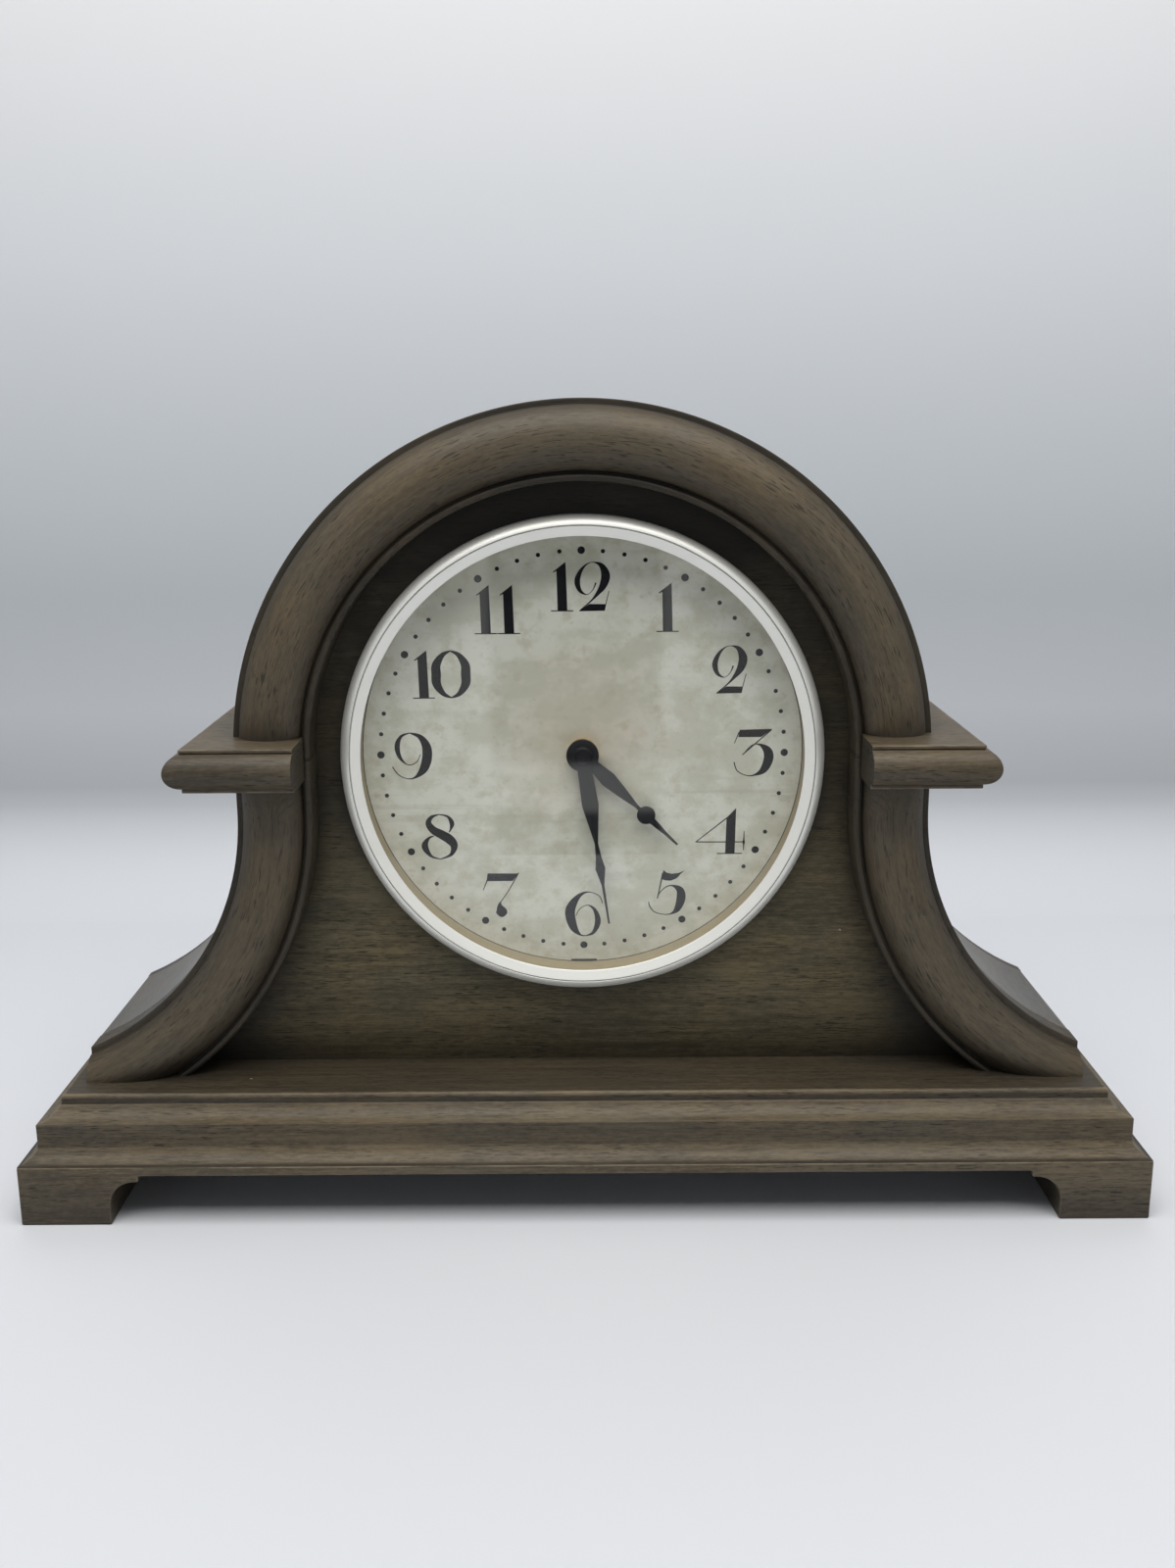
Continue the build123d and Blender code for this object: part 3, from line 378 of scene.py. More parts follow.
def stainedWoodGroup():
    # Stained wood: warm and grey patches, fine fibres, short dark pores, glaze with painted shade in hollows
    # and near other parts, rubbed arrises with some painted light
    tree, given, out = newGroup("stainedWood", [
        ("Grain", "Vector", None), ("Wear And Shade", "Float", 0.0), ("Warm", "Color", (0.138, 0.106, 0.064, 1)),
        ("Grey", "Color", (0.112, 0.092, 0.062, 1)), ("Rubbed And Lit", "Color", (0.27, 0.222, 0.15, 1)),
        ("Glaze And Shade", "Color", (0.012, 0.0105, 0.0085, 1)), ("Glaze And Shade Depth", "Float", 0.8),
        ("Glaze And Shade Reach", "Float", 0.03), ("Pore Depth", "Float", 0.7), ("Contrast", "Float", 1.0)],
        surfaceOutputs)
    noises = {label: noise(tree, given["Grain"], *rule) for label, rule in woodNoises.items()}

    def limited(label, value):
        return ramp(tree, value, *woodLimits[label])

    def times(first, second):
        return math2(tree, "MULTIPLY", first, second)

    pores = times(limited("pores", noises["dashes"]), limited("clusters", noises["clusters"]))
    pores = times(pores, given["Pore Depth"])
    colour = mixColour(tree, limited("patches", noises["patches"]), given["Grey"], given["Warm"])
    tone = 0.0
    for label, weight in woodTone.items():
        tone = math2(tree, "ADD", times(noises[label], weight), tone)
    shading = math2(tree, "ADD", times(limited("tone", tone), given["Contrast"]), woodShares["tone"])
    toned = node(tree, "VectorMath", {"operation": "SCALE"})
    tree.links.new(colour, toned.inputs[0])
    tree.links.new(shading, toned.inputs["Scale"])
    colour = mixColour(tree, pores, toned.outputs[0], given["Glaze And Shade"])
    # Painted shade: the colour darkens towards the glaze colour where other surfaces are near, and in marked
    # hollows
    near = node(tree, "AmbientOcclusion", {"samples": 8, "only_local": False})
    tree.links.new(given["Glaze And Shade Reach"], near.inputs["Distance"])
    shade = limited("shade", near.outputs["AO"])
    hollow = math2(tree, "MAXIMUM", times(given["Wear And Shade"], -1.0), 0.0)
    glazedAndShaded = times(math2(tree, "MAXIMUM", hollow, shade), given["Glaze And Shade Depth"])
    colour = mixColour(tree, times(glazedAndShaded, limited("uneven", noises["clouds"])), colour, given["Glaze And Shade"])
    # Rubbed arrises lighten the colour; the same marks paint light on the base's upward curves
    arris = math2(tree, "MAXIMUM", given["Wear And Shade"], 0.0)
    rubbedAndLit = times(arris, limited("wear", noises["wear"]))
    rubbedAndLit = times(rubbedAndLit, math2(tree, "SUBTRACT", 1.0, shade))
    colour = mixColour(tree, times(rubbedAndLit, woodShares["rubbedAndLit"]), colour, given["Rubbed And Lit"])
    colour = mixColour(tree, limited("nicks", noises["nicks"]), colour, nickColour)
    roughness = math2(tree, "ADD", limited("sheen", noises["streaks"]), times(pores, woodShares["poreSheen"]))
    height = math2(tree, "SUBTRACT", times(noises["fibres"], woodShares["fibreHeight"]), pores)
    return giveOut(tree, out, colour, roughness, height)


def markedGroup(name, second, fine, broad, limits):
    # One tone with broad marks of a second one, smooth to rough with them, and a fine texture
    tree, given, out = newGroup(name, [
        ("Tone", "Color", None), (second, "Color", None),
        ("Smooth", "Float", None), ("Rough", "Float", None)], surfaceOutputs)
    where = node(tree, "TexCoord").outputs["Object"]
    texture = noise(tree, where, *fine)
    marks = noise(tree, where, *broad)
    colour = mixColour(tree, ramp(tree, marks, *limits), given["Tone"], given[second])
    return giveOut(tree, out, colour, between(tree, marks, given["Smooth"], given["Rough"]), texture)


stainedWood = stainedWoodGroup()
# Moulded stipple with handling marks, for plastic, rubber, lacquer and card
mouldedFinish = markedGroup("mouldedFinish", "Scuff", ((2200, 2200, 2200), 2), ((90, 90, 140), 4, 0.65, 2.2),
                            (0.52, 0.74, 0.0, 0.5))
# Fine turning lines with faint tarnish and fingerprints
satinMetal = markedGroup("satinMetal", "Tarnish", ((1500, 1500, 1500), 2), ((45, 60, 45), 5, 0.65, 4.4),
                         (0.5, 0.8, 0.0, 0.4))
print("shared effects built")


# Finishes

def groupFinish(name, group, values, bumpStrength, bumpDistance, **plain):
    material, tree, shader = newMaterial(name)
    effect = useGroup(tree, group, **values)
    tree.links.new(effect.outputs["Color"], shader.inputs["Base Color"])
    tree.links.new(effect.outputs["Roughness"], shader.inputs["Roughness"])
    bumped(tree, shader, effect.outputs["Height"], bumpStrength, bumpDistance)
    for label, value in plain.items():
        shader.inputs[label.replace("_", " ")].default_value = value
    return material, tree, effect


def woodFinish(name, values=None, **plain):
    # Wood whose mesh carries its own grain directions and marks of wear, glaze and painted shade
    material, tree, effect = groupFinish(name, stainedWood, values or {}, 0.3, 0.0002, **plain)
    grain = node(tree, "Attribute", {"attribute_name": "grain"})
    wearAndShade = node(tree, "Attribute", {"attribute_name": "wearAndShade"})
    tree.links.new(grain.outputs["Vector"], effect.inputs["Grain"])
    tree.links.new(wearAndShade.outputs["Fac"], effect.inputs["Wear And Shade"])
    return material


def boardFinish(name, values, shadeWithHeight=None, **plain):
    # Wood of a flat upright board: grain along X; shadeWithHeight is how painted shade deepens with height
    material, tree, effect = groupFinish(name, stainedWood, values, 0.3, 0.0002, **plain)
    where = node(tree, "TexCoord").outputs["Object"]
    parts = node(tree, "SeparateXYZ")
    joined = node(tree, "CombineXYZ")
    tree.links.new(where, parts.inputs[0])
    for source, target in (("X", "X"), ("Z", "Y"), ("Y", "Z")):
        tree.links.new(parts.outputs[source], joined.inputs[target])
    tree.links.new(joined.outputs[0], effect.inputs["Grain"])
    if shadeWithHeight:
        low, high, depth = shadeWithHeight
        deepened = ramp(tree, parts.outputs["Z"], low, high, 0.0, -depth)
        tree.links.new(deepened, effect.inputs["Wear And Shade"])
    return material


caseWood = woodFinish("caseWood", Specular_IOR_Level=0.3)
bandWood = woodFinish("bandWood", {"Contrast": 0.6, "Glaze And Shade Depth": 0.92}, Specular_IOR_Level=0.3)
skinWood = woodFinish("skinWood", {"Warm": (0.098, 0.083, 0.060, 1), "Grey": (0.082, 0.076, 0.064, 1),
                                   "Pore Depth": 0.3}, Coat_Weight=0.3, Coat_Roughness=0.28)
# Panel: painted shade reaches further from nearby parts and deepens towards the top, under the arch
panelWood = boardFinish("panelWood", {"Warm": (0.155, 0.125, 0.067, 1), "Grey": (0.126, 0.108, 0.064, 1),
                                      "Glaze And Shade Depth": 1.0, "Glaze And Shade Reach": 0.05},
                        shadeWithHeight=(0.066, 0.20, 0.97), Specular_IOR_Level=0.2)
blockWood = boardFinish("blockWood", {"Warm": (0.46, 0.32, 0.17, 1), "Grey": (0.36, 0.25, 0.13, 1),
                                      "Glaze And Shade": (0.16, 0.09, 0.04, 1)})
backBoard = boardFinish("backBoard", {"Warm": (0.088, 0.068, 0.048, 1), "Grey": (0.066, 0.056, 0.043, 1)})


def metalFinish(name, tone, tarnish, smooth, rough, metallic=1.0):
    values = {"Tone": tone + (1.0,), "Tarnish": tarnish + (1.0,), "Smooth": smooth, "Rough": rough}
    return groupFinish(name, satinMetal, values, 0.03, 0.00003, Metallic=metallic)[0]


def mouldedIn(name, tone, scuff, smooth, rough, **plain):
    values = {"Tone": tone + (1.0,), "Scuff": scuff + (1.0,), "Smooth": smooth, "Rough": rough}
    return groupFinish(name, mouldedFinish, values, 0.12, 0.0001, **plain)[0]


def bezelFinish():
    # Satin ring metal with painted shade darkening its fine groove
    values = {"Tone": (0.95, 0.95, 0.90, 1), "Tarnish": (0.84, 0.83, 0.77, 1), "Smooth": 0.36, "Rough": 0.48}
    material, tree, effect = groupFinish("bezelMetal", satinMetal, values, 0.03, 0.00003, Metallic=0.5)
    wearAndShade = node(tree, "Attribute", {"attribute_name": "wearAndShade"})
    grooveShade = ramp(tree, wearAndShade.outputs["Fac"], -0.9, -0.2, 0.85, 0.0)
    colour = mixColour(tree, grooveShade, effect.outputs["Color"], (0.05, 0.048, 0.042))
    tree.links.new(colour, tree.nodes["Principled BSDF"].inputs["Base Color"])
    return material


bezelMetal = bezelFinish()
screwSteel = metalFinish("screwSteel", (0.50, 0.48, 0.44), (0.22, 0.19, 0.15), 0.25, 0.5)
contactSteel = metalFinish("contactSteel", (0.62, 0.61, 0.58), (0.35, 0.33, 0.30), 0.2, 0.4)
brassMetal = metalFinish("brassMetal", (0.66, 0.48, 0.20), (0.34, 0.22, 0.08), 0.2, 0.4)
ringMetal = metalFinish("ringMetal", (0.60, 0.60, 0.60), (0.42, 0.42, 0.42), 0.3, 0.45)
# Dark dial plate; it shows as the dark line round the paper's edge and in its notch
darkPlate = mouldedIn("darkPlate", (0.020, 0.019, 0.017), (0.034, 0.031, 0.027), 0.4, 0.6)
movementPlastic = mouldedIn("movementPlastic", (0.016, 0.016, 0.017), (0.035, 0.035, 0.036), 0.38, 0.55)
gasketRubber = mouldedIn("gasketRubber", (0.012, 0.012, 0.012), (0.03, 0.03, 0.03), 0.6, 0.8)
gearPlastic = mouldedIn("gearPlastic", (0.62, 0.60, 0.52), (0.50, 0.48, 0.42), 0.35, 0.5)
boardLaminate = mouldedIn("boardLaminate", (0.035, 0.12, 0.05), (0.06, 0.16, 0.08), 0.35, 0.5)
coilWire = mouldedIn("coilWire", (0.42, 0.15, 0.05), (0.30, 0.10, 0.035), 0.3, 0.45)
backingCard = mouldedIn("backingCard", (0.36, 0.30, 0.21), (0.28, 0.23, 0.16), 0.7, 0.85)
spacerCard = mouldedIn("spacerCard", (0.36, 0.30, 0.19), (0.29, 0.235, 0.15), 0.55, 0.75)
handBlack = mouldedIn("handBlack", (0.007, 0.007, 0.009), (0.016, 0.016, 0.019), 0.3, 0.45,
                      Specular_IOR_Level=0.3)
dialInk = mouldedIn("dialInk", (0.003, 0.0032, 0.005), (0.008, 0.0082, 0.011), 0.5, 0.65,
                    Specular_IOR_Level=0.15)


def agedPaper():
    # Off-white dial paper: mottled, browned near the hub, with faint creases
    material, tree, shader = newMaterial("agedPaper")
    where = node(tree, "TexCoord").outputs["Object"]
    blotches = noise(tree, where, (60, 60, 80), detail=5, rough=0.62)
    mottle = noise(tree, where, (210, 210, 230), detail=4, rough=0.6, shift=2.7)
    fibre = noise(tree, where, (900, 900, 2400), detail=3, shift=6.1)
    parts = node(tree, "SeparateXYZ")
    tree.links.new(where, parts.inputs[0])
    aboveHub = math2(tree, "SUBTRACT", parts.outputs["Z"], dialCentre.z + 0.008)
    away = node(tree, "CombineXYZ")
    tree.links.new(parts.outputs["X"], away.inputs["X"])
    tree.links.new(aboveHub, away.inputs["Z"])
    distance = node(tree, "VectorMath", {"operation": "LENGTH"})
    tree.links.new(away.outputs[0], distance.inputs[0])
    stain = ramp(tree, distance.outputs["Value"], 0.004, 0.042, 1.0, 0.0)
    stain = math2(tree, "MULTIPLY", stain, ramp(tree, blotches, 0.3, 0.7, 0.35, 1.0))
    specks = noise(tree, where, (620, 620, 620), detail=3, rough=0.6, shift=5.2)
    colour = mixColour(tree, ramp(tree, blotches, 0.40, 0.60), (0.645, 0.65, 0.537), (0.80, 0.805, 0.715))
    colour = mixColour(tree, ramp(tree, mottle, 0.50, 0.72, 0.0, 0.65), colour, (0.59, 0.56, 0.44))
    colour = mixColour(tree, ramp(tree, specks, 0.60, 0.74, 0.0, 0.35), colour, (0.46, 0.42, 0.32))
    colour = mixColour(tree, math2(tree, "MULTIPLY", stain, 0.5), colour, (0.60, 0.47, 0.33))
    crease = noise(tree, where, (16, 16, 150), detail=3, rough=0.5, shift=9.2)
    colour = mixColour(tree, ramp(tree, crease, 0.60, 0.72, 0.0, 0.2), colour, (0.46, 0.45, 0.38))
    # A faint darker band, broken by noise, runs across the paper 17.5 mm below the hub
    belowHub = math2(tree, "ABSOLUTE", math2(tree, "ADD", parts.outputs["Z"], 0.0175 - dialCentre.z), 0.0)
    darkBands = noise(tree, where, (11, 11, 300), detail=2, rough=0.5, shift=3.7)
    nearBands = ramp(tree, belowHub, 0.003, 0.008, 0.4, 0.0)
    darkBands = math2(tree, "MULTIPLY", ramp(tree, darkBands, 0.50, 0.66), nearBands)
    colour = mixColour(tree, darkBands, colour, (0.46, 0.44, 0.35))
    tree.links.new(colour, shader.inputs["Base Color"])
    tree.links.new(ramp(tree, mottle, 0.3, 0.7, 0.62, 0.78), shader.inputs["Roughness"])
    bumped(tree, shader, math2(tree, "ADD", fibre, math2(tree, "MULTIPLY", crease, 1.5)), 0.12, 0.0002)
    return material


def clearGlass():
    # Flat glass that lets the lamps' light through to the dial
    material, tree, shader = newMaterial("clearGlass")
    shader.inputs["Base Color"].default_value = (0.985, 1.0, 0.99, 1)
    shader.inputs["Transmission Weight"].default_value = 1.0
    shader.inputs["IOR"].default_value = 1.48
    where = node(tree, "TexCoord").outputs["Object"]
    smears = noise(tree, where, (30, 30, 22), detail=4, rough=0.6)
    tree.links.new(ramp(tree, smears, 0.45, 0.75, 0.0, 0.035), shader.inputs["Roughness"])
    path = node(tree, "LightPath")
    passing = math2(tree, "MAXIMUM", path.outputs["Is Shadow Ray"], path.outputs["Is Diffuse Ray"])
    letThrough(tree, shader, passing)
    return material


def batteryWrap():
    # Plain printed sleeve: dark body, pale band at the cap end, bare metal ends
    material, tree, shader = newMaterial("batteryWrap")
    low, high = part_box("battery")
    where = node(tree, "TexCoord").outputs["Object"]
    parts = node(tree, "SeparateXYZ")
    tree.links.new(where, parts.inputs[0])
    along = parts.outputs["X"]
    bandWidth, capLength, endLength = 15 * mm, 1.6 * mm, 0.6 * mm
    band = math2(tree, "GREATER_THAN", along, high.x - bandWidth)
    bare = math2(tree, "MAXIMUM", math2(tree, "GREATER_THAN", along, high.x - capLength),
                 math2(tree, "LESS_THAN", along, low.x + endLength))
    scuffs = noise(tree, where, (120, 400, 400), detail=4, rough=0.65)
    body = mixColour(tree, ramp(tree, scuffs, 0.5, 0.75, 0.0, 0.4), (0.03, 0.05, 0.075), (0.10, 0.12, 0.14))
    colour = mixColour(tree, band, body, (0.55, 0.54, 0.50))
    colour = mixColour(tree, bare, colour, (0.62, 0.61, 0.58))
    tree.links.new(colour, shader.inputs["Base Color"])
    tree.links.new(bare, shader.inputs["Metallic"])
    tree.links.new(ramp(tree, scuffs, 0.3, 0.7, 0.28, 0.42), shader.inputs["Roughness"])
    return material


dialPaper = agedPaper()
dialGlass = clearGlass()
finishNodes = [
    (panelWood, "front_panel"), (backBoard, "back_panel"), (blockWood, "corner_blocks"),
    (screwSteel, "base_screws back_screws retaining_screws"), (ringMetal, "retaining_ring"),
    (dialGlass, "glass_lens"), (spacerCard, "dial_spacer"), (dialPaper, "dial_paper"),
    (darkPlate, "dial_plate"), (backingCard, "dial_backing"), (gasketRubber, "movement_gasket"),
    (movementPlastic, "movement_case movement_cover setting_knob"), (batteryWrap(), "battery"),
    (brassMetal, "threaded_bush bush_washer bush_nut minute_arbor"), (coilWire, "coil"),
    (contactSteel, "battery_contacts stator"), (boardLaminate, "circuit_board"),
    (gearPlastic, "hour_wheel motion_wheel centre_wheel third_wheel second_wheel intermediate_wheel rotor")]
for material, names in finishNodes:
    for name in names.split():
        nodes[name].data.materials.clear()
        nodes[name].data.materials.append(material)
print("finishes made")


# Base: the foot tier and the moulded board above it, mitred at the corners

footSizes = {"width": 30.0, "straight": 7.0, "cove": 8.3, "ledge": 1.5, "step": 2.2,
             "arris": 0.45, "hold": 1.4}
baseSizes = {"coveSetback": 5.6, "coveHeight": 5.2, "fasciaHeight": 7.4, "hollowSetback": 6.2,
             "hollowHeight": 4.4, "ledge": 0.5, "brow": 0.9, "joint": 0.5, "reach": 40.0, "keep": 35.0,
             "arris": 0.3, "hold": 0.6}
# Base marks: the joint is a dark joint; top, fillet and fascia get glaze with painted shade; the curves get
# painted light
baseMarks = {"joint": -1.0, "top": -0.78, "brow": 0.4, "fillet": -0.75, "fascia": -0.38, "litCurves": 0.2}


def mitredGrain(spot, normal):
    # Grain follows each side of a mitred moulding
    leastSlope = 0.3
    if abs(normal.x) > abs(normal.y) and abs(normal.x) > leastSlope:
        return spot.y, spot.z + abs(spot.x), spot.x
    return spot.x, spot.z + spot.y, spot.y


def footTier():
    s = {key: value * mm for key, value in footSizes.items()}
    outer = footHigh.x
    inner = outer - s["width"]
    coveTop = s["straight"] + s["cove"]
    stripBottom = coveTop + s["step"]
    coveX = inner - s["cove"]
    ledgeX = coveX - s["ledge"]
    coveMiddle = (coveX + s["cove"] * math.cos(math.pi / 4),
                  s["straight"] + s["cove"] * math.sin(math.pi / 4))
    half = [(outer, footHigh.z), (outer, 0), (inner, 0)]
    half += arcThrough((inner, s["straight"]), coveMiddle, (coveX, coveTop), 10)
    half += [(coveX, coveTop), (ledgeX, coveTop), (ledgeX, stripBottom)]
    outline = half + [(-x, z) for x, z in reversed(half)]
    piece = board("footTier", outline, footLow.y, footHigh.y, s["arris"], s["hold"])
    layGrain(piece, mitredGrain)
    return standsFor(piece, "foot_plinth", "case", caseWood)


def mouldedBase():
    s = {key: value * mm for key, value in baseSizes.items()}
    z0 = baseLow.z
    z1 = z0 + s["coveHeight"]
    z2 = z1 + s["fasciaHeight"]
    z3 = z2 + s["hollowHeight"]
    cove = s["coveSetback"]
    hollow = cove + s["hollowSetback"]
    fillet = hollow + s["ledge"]
    brow, hold = s["brow"], s["hold"]
    section = bowed((0, z0), (cove, z0), (cove, z1), 8) + [(cove, z1)]
    section += bowed((cove, z2), (hollow, z2), (hollow, z3), 10)
    section += [(hollow, z3), (fillet, z3), (fillet, baseTop - brow - hold)]
    section += [(fillet + brow * (1 - math.cos(turn)), baseTop - brow * (1 - math.sin(turn)))
                for turn in (math.pi / 12 * k for k in range(7))]
    section += [(fillet + brow + hold, baseTop), (s["reach"], baseTop), (s["reach"], z0)]

    def shadeAt(x, z, mark):
        # Rubbed brow; glaze in the joint at the foot; glaze and painted shade on the fillet below the brow,
        # on the top and on the fascia; painted light on the curves
        if z < z0 + s["joint"]:
            return baseMarks["joint"]
        if x > fillet + brow + hold / 2:
            return baseMarks["top"]
        if z > baseTop - brow - hold / 2:
            return baseMarks["brow"]
        if x > hollow + s["ledge"] / 2:
            return min(mark, baseMarks["fillet"])
        if abs(x - cove) < s["arris"]:
            return min(mark, baseMarks["fascia"])
        return min(mark, 0.0) + baseMarks["litCurves"]

    profile = [(x, z, shadeAt(x, z, mark)) for x, z, mark in softened(section, s["arris"], hold)
               if x < s["keep"]]
    rings = []
    wearAndShade = []
    for setback, height, mark in profile:
        x, front, back = baseHigh.x - setback, baseLow.y + setback, baseHigh.y
        plan = softened([(x, back), (-x, back), (-x, front), (x, front)], s["arris"], s["hold"])
        rings.append([(px, py, height) for px, py, corner in plan])
        wearAndShade.append([max(corner, mark) if mark >= 0 else mark for px, py, corner in plan])
    piece = loft("mouldedBase", rings, wearAndShade)
    layGrain(piece, mitredGrain)
    return standsFor(piece, "base_moulding", "case", caseWood)


footTier()
mouldedBase()
print("base built")


# Band moulding round the arch and down the legs: fillet, broad swell, groove and bead

bandSizes = {"fillet": 2.2, "swell": 20.1, "groove": 0.6, "bead": 2.4, "filletProud": 10.4, "swellEdge": 12.0,
             "swellProud": 18.4, "grooveProud": 11.4, "beadEdge": 12.4, "beadProud": 13.5,
             "arris": 0.4, "hold": 0.9}
bandMarks = {"fillet": -0.85, "bead": -0.92, "swellEdge": -0.75, "deepest": -0.8,
             "innerPower": 2, "outerPower": 4}
archSteps = 120
legSizes = {"straight": 17.5, "drop": 83.4}


def bandSection():
    # Points of (inset from the outer edge, depth, mark)
    s = {key: value * mm for key, value in bandSizes.items()}
    swellStart = s["fillet"]
    swellEnd = swellStart + s["swell"]
    beadStart = swellEnd + s["groove"]
    beadEnd = beadStart + s["bead"]
    outline = [(0, 0), (0, s["filletProud"]), (swellStart, s["filletProud"])]
    outline += arcThrough((swellStart, s["swellEdge"]), ((swellStart + swellEnd) / 2, s["swellProud"]),
                          (swellEnd, s["swellEdge"]), 22)
    outline += [(swellEnd, s["swellEdge"]), (swellEnd, s["grooveProud"]), (beadStart, s["grooveProud"])]
    outline += arcThrough((beadStart, s["beadEdge"]), ((beadStart + beadEnd) / 2, s["beadProud"]),
                          (beadEnd, s["beadEdge"]), 8)
    outline += [(beadEnd, s["beadEdge"]), (beadEnd, 0)]

    def shadeAt(inset, mark):
        # Glaze with painted shade lies on the fillet, the bead and the edges of the swell
        if inset < swellStart:
            return min(mark, bandMarks["fillet"])
        if inset > swellEnd:
            return min(mark, bandMarks["bead"])
        aside = (2 * inset - swellStart - swellEnd) / s["swell"]
        power = bandMarks["innerPower" if aside > 0 else "outerPower"]
        return max(min(mark, bandMarks["swellEdge"] * abs(aside) ** power), bandMarks["deepest"])

    return [(inset, panelFront - proud, shadeAt(inset, mark))
            for inset, proud, mark in softened(outline, s["arris"], s["hold"])]


def archBand():
    section = [(archRadius - inset, depth, mark) for inset, depth, mark in bandSection()]
    piece = turnedRing("archBand", section, archCentre, archSteps, 0.0, math.pi)
    layGrain(piece, lambda p, n: (archRadius * math.atan2(p.z - springZ, p.x),
                                  math.hypot(p.x, p.z - springZ), p.y))
    return standsFor(piece, "arch_moulding", "case", bandWood)


def flareOf(side):
    # Centre and radius of the leg's flare, and the height where it begins
    straight, drop = legSizes["straight"] * mm, legSizes["drop"] * mm
    reach = toeX - archRadius
    radius = (drop ** 2 + reach ** 2) / (2 * reach)
    return Vector((side * (archRadius + radius), 0, springZ - straight)), radius


def legBand(name, side, replaced):
    flare, radius = flareOf(side)
    section = bandSection()
    rings = [[(side * (archRadius - inset), depth, springZ) for inset, depth, mark in section]]
    arcSteps = 70
    for step in range(arcSteps + 1):
        angle = math.pi + math.pi / 2 * step / arcSteps
        rings.append([(flare.x + side * (radius + inset) * math.cos(angle), depth,
                       flare.z + (radius + inset) * math.sin(angle)) for inset, depth, mark in section])
    piece = loft(name, rings, [[mark for inset, depth, mark in section]] * len(rings))
    cut = bmesh.new()
    cut.from_mesh(piece.data)
    for origin, direction in (((0, 0, baseTop), (0, 0, -1)), ((side * toeX, 0, 0), (side, 0, 0))):
        everything = cut.verts[:] + cut.edges[:] + cut.faces[:]
        sliced = bmesh.ops.bisect_plane(cut, geom=everything, plane_co=origin, plane_no=direction,
                                        clear_outer=True)
        rim = [item for item in sliced["geom_cut"] if isinstance(item, bmesh.types.BMEdge)]
        bmesh.ops.contextual_create(cut, geom=rim)
    bmesh.ops.recalc_face_normals(cut, faces=cut.faces)
    cut.to_mesh(piece.data)
    cut.free()
    piece.data.shade_smooth()
    piece.data.set_sharp_from_angle(angle=math.radians(55))

    def alongLeg(p, n):
        if p.z > flare.z:
            return flare.z - p.z, abs(p.x), p.y
        angle = math.atan2(flare.z - p.z, side * (flare.x - p.x))
        return radius * angle, math.hypot(p.x - flare.x, p.z - flare.z), p.y

    layGrain(piece, alongLeg)
    return standsFor(piece, replaced, "case", bandWood)


archBand()
legBand("leftLegBand", -1, "left_leg_moulding")
legBand("rightLegBand", 1, "right_leg_moulding")
print("band moulding built")


# Side shelves: nosed along the front and the outer side, cut flat at the inner end

shelfSizes = {"reach": 12.5, "frontProud": 31.0, "innerLap": 23.5, "topFillet": 1.1, "groove": 0.35,
              "noseProud": 4.4, "noseHeight": 11.25, "bottomFillet": 1.4, "aboveSpring": 7.8,
              "skinGap": 0.05, "arris": 0.35, "hold": 1.0}
shelfMarks = {"noseTop": 0.1, "noseFall": 0.3, "outerNose": 0.45, "top": 0.12, "innerEnd": -1.0}


def sideShelf(name, side, replaced):
    s = {key: value * mm for key, value in shelfSizes.items()}
    top = springZ + s["aboveSpring"]
    grooveTop = top - s["topFillet"]
    noseTop = grooveTop - s["groove"]
    noseBottom = noseTop - s["noseHeight"]
    bottom = noseBottom - s["bottomFillet"]
    inner, outer, front = archRadius - s["innerLap"], archRadius + s["reach"], panelFront - s["frontProud"]
    skin = archRadius + s["skinGap"]
    deep = -s["reach"]
    section = [(deep, top), (0, top), (0, grooveTop), (-s["groove"], grooveTop), (-s["groove"], noseTop)]
    section += arcThrough((0, noseTop), (s["noseProud"], (noseTop + noseBottom) / 2), (0, noseBottom), 16)
    section += [(0, noseBottom), (-s["groove"], noseBottom), (-s["groove"], bottom), (deep, bottom)]
    keepShare = 0.3
    profile = [point for point in softened(section, s["arris"], s["hold"]) if point[0] > keepShare * deep]

    def shadeAt(x, proud, height, mark, corner):
        # Painted shade: darker under the nose, round its outer side and a little on the top
        if proud > 0 and noseBottom < height < noseTop:
            under = shelfMarks["noseTop"] + shelfMarks["noseFall"] * (noseTop - height) / s["noseHeight"]
            return min(mark, -(shelfMarks["outerNose"] if x > outer else under))
        if height > top - s["arris"] / 2 and proud < -s["arris"]:
            return min(mark, -shelfMarks["top"])
        return max(corner, mark) if mark >= 0 else mark

    rings = []
    wearAndShade = []
    for proud, height, mark in profile:
        plan = softened([(inner, front - proud), (outer + proud, front - proud), (outer + proud, caseBack),
                         (skin, caseBack), (skin, panelFront), (inner, panelFront)], s["arris"], s["hold"])
        rings.append([(side * x, y, height) for x, y, corner in plan])
        wearAndShade.append([shadeAt(x, proud, height, mark, corner) for x, y, corner in plan])
    piece = loft(name, rings, wearAndShade)
    marks = piece.data.attributes["wearAndShade"].data
    # Painted shade on the shelf's flat inner end
    for face in piece.data.polygons:
        if side * face.normal.x < -0.9 and abs(side * face.center.x - inner) < s["arris"]:
            for corner in face.loop_indices:
                marks[corner].value = shelfMarks["innerEnd"]
    layGrain(piece, mitredGrain)
    return standsFor(piece, replaced, "case", caseWood)


sideShelf("leftShelf", -1, "left_shelf")
sideShelf("rightShelf", 1, "right_shelf")
print("shelves built")


# Skins: the hood over the arch and a bent side behind each leg

skinSizes = {"thickness": 6.0, "toe": 12.0, "arris": 0.4, "hold": 1.2}


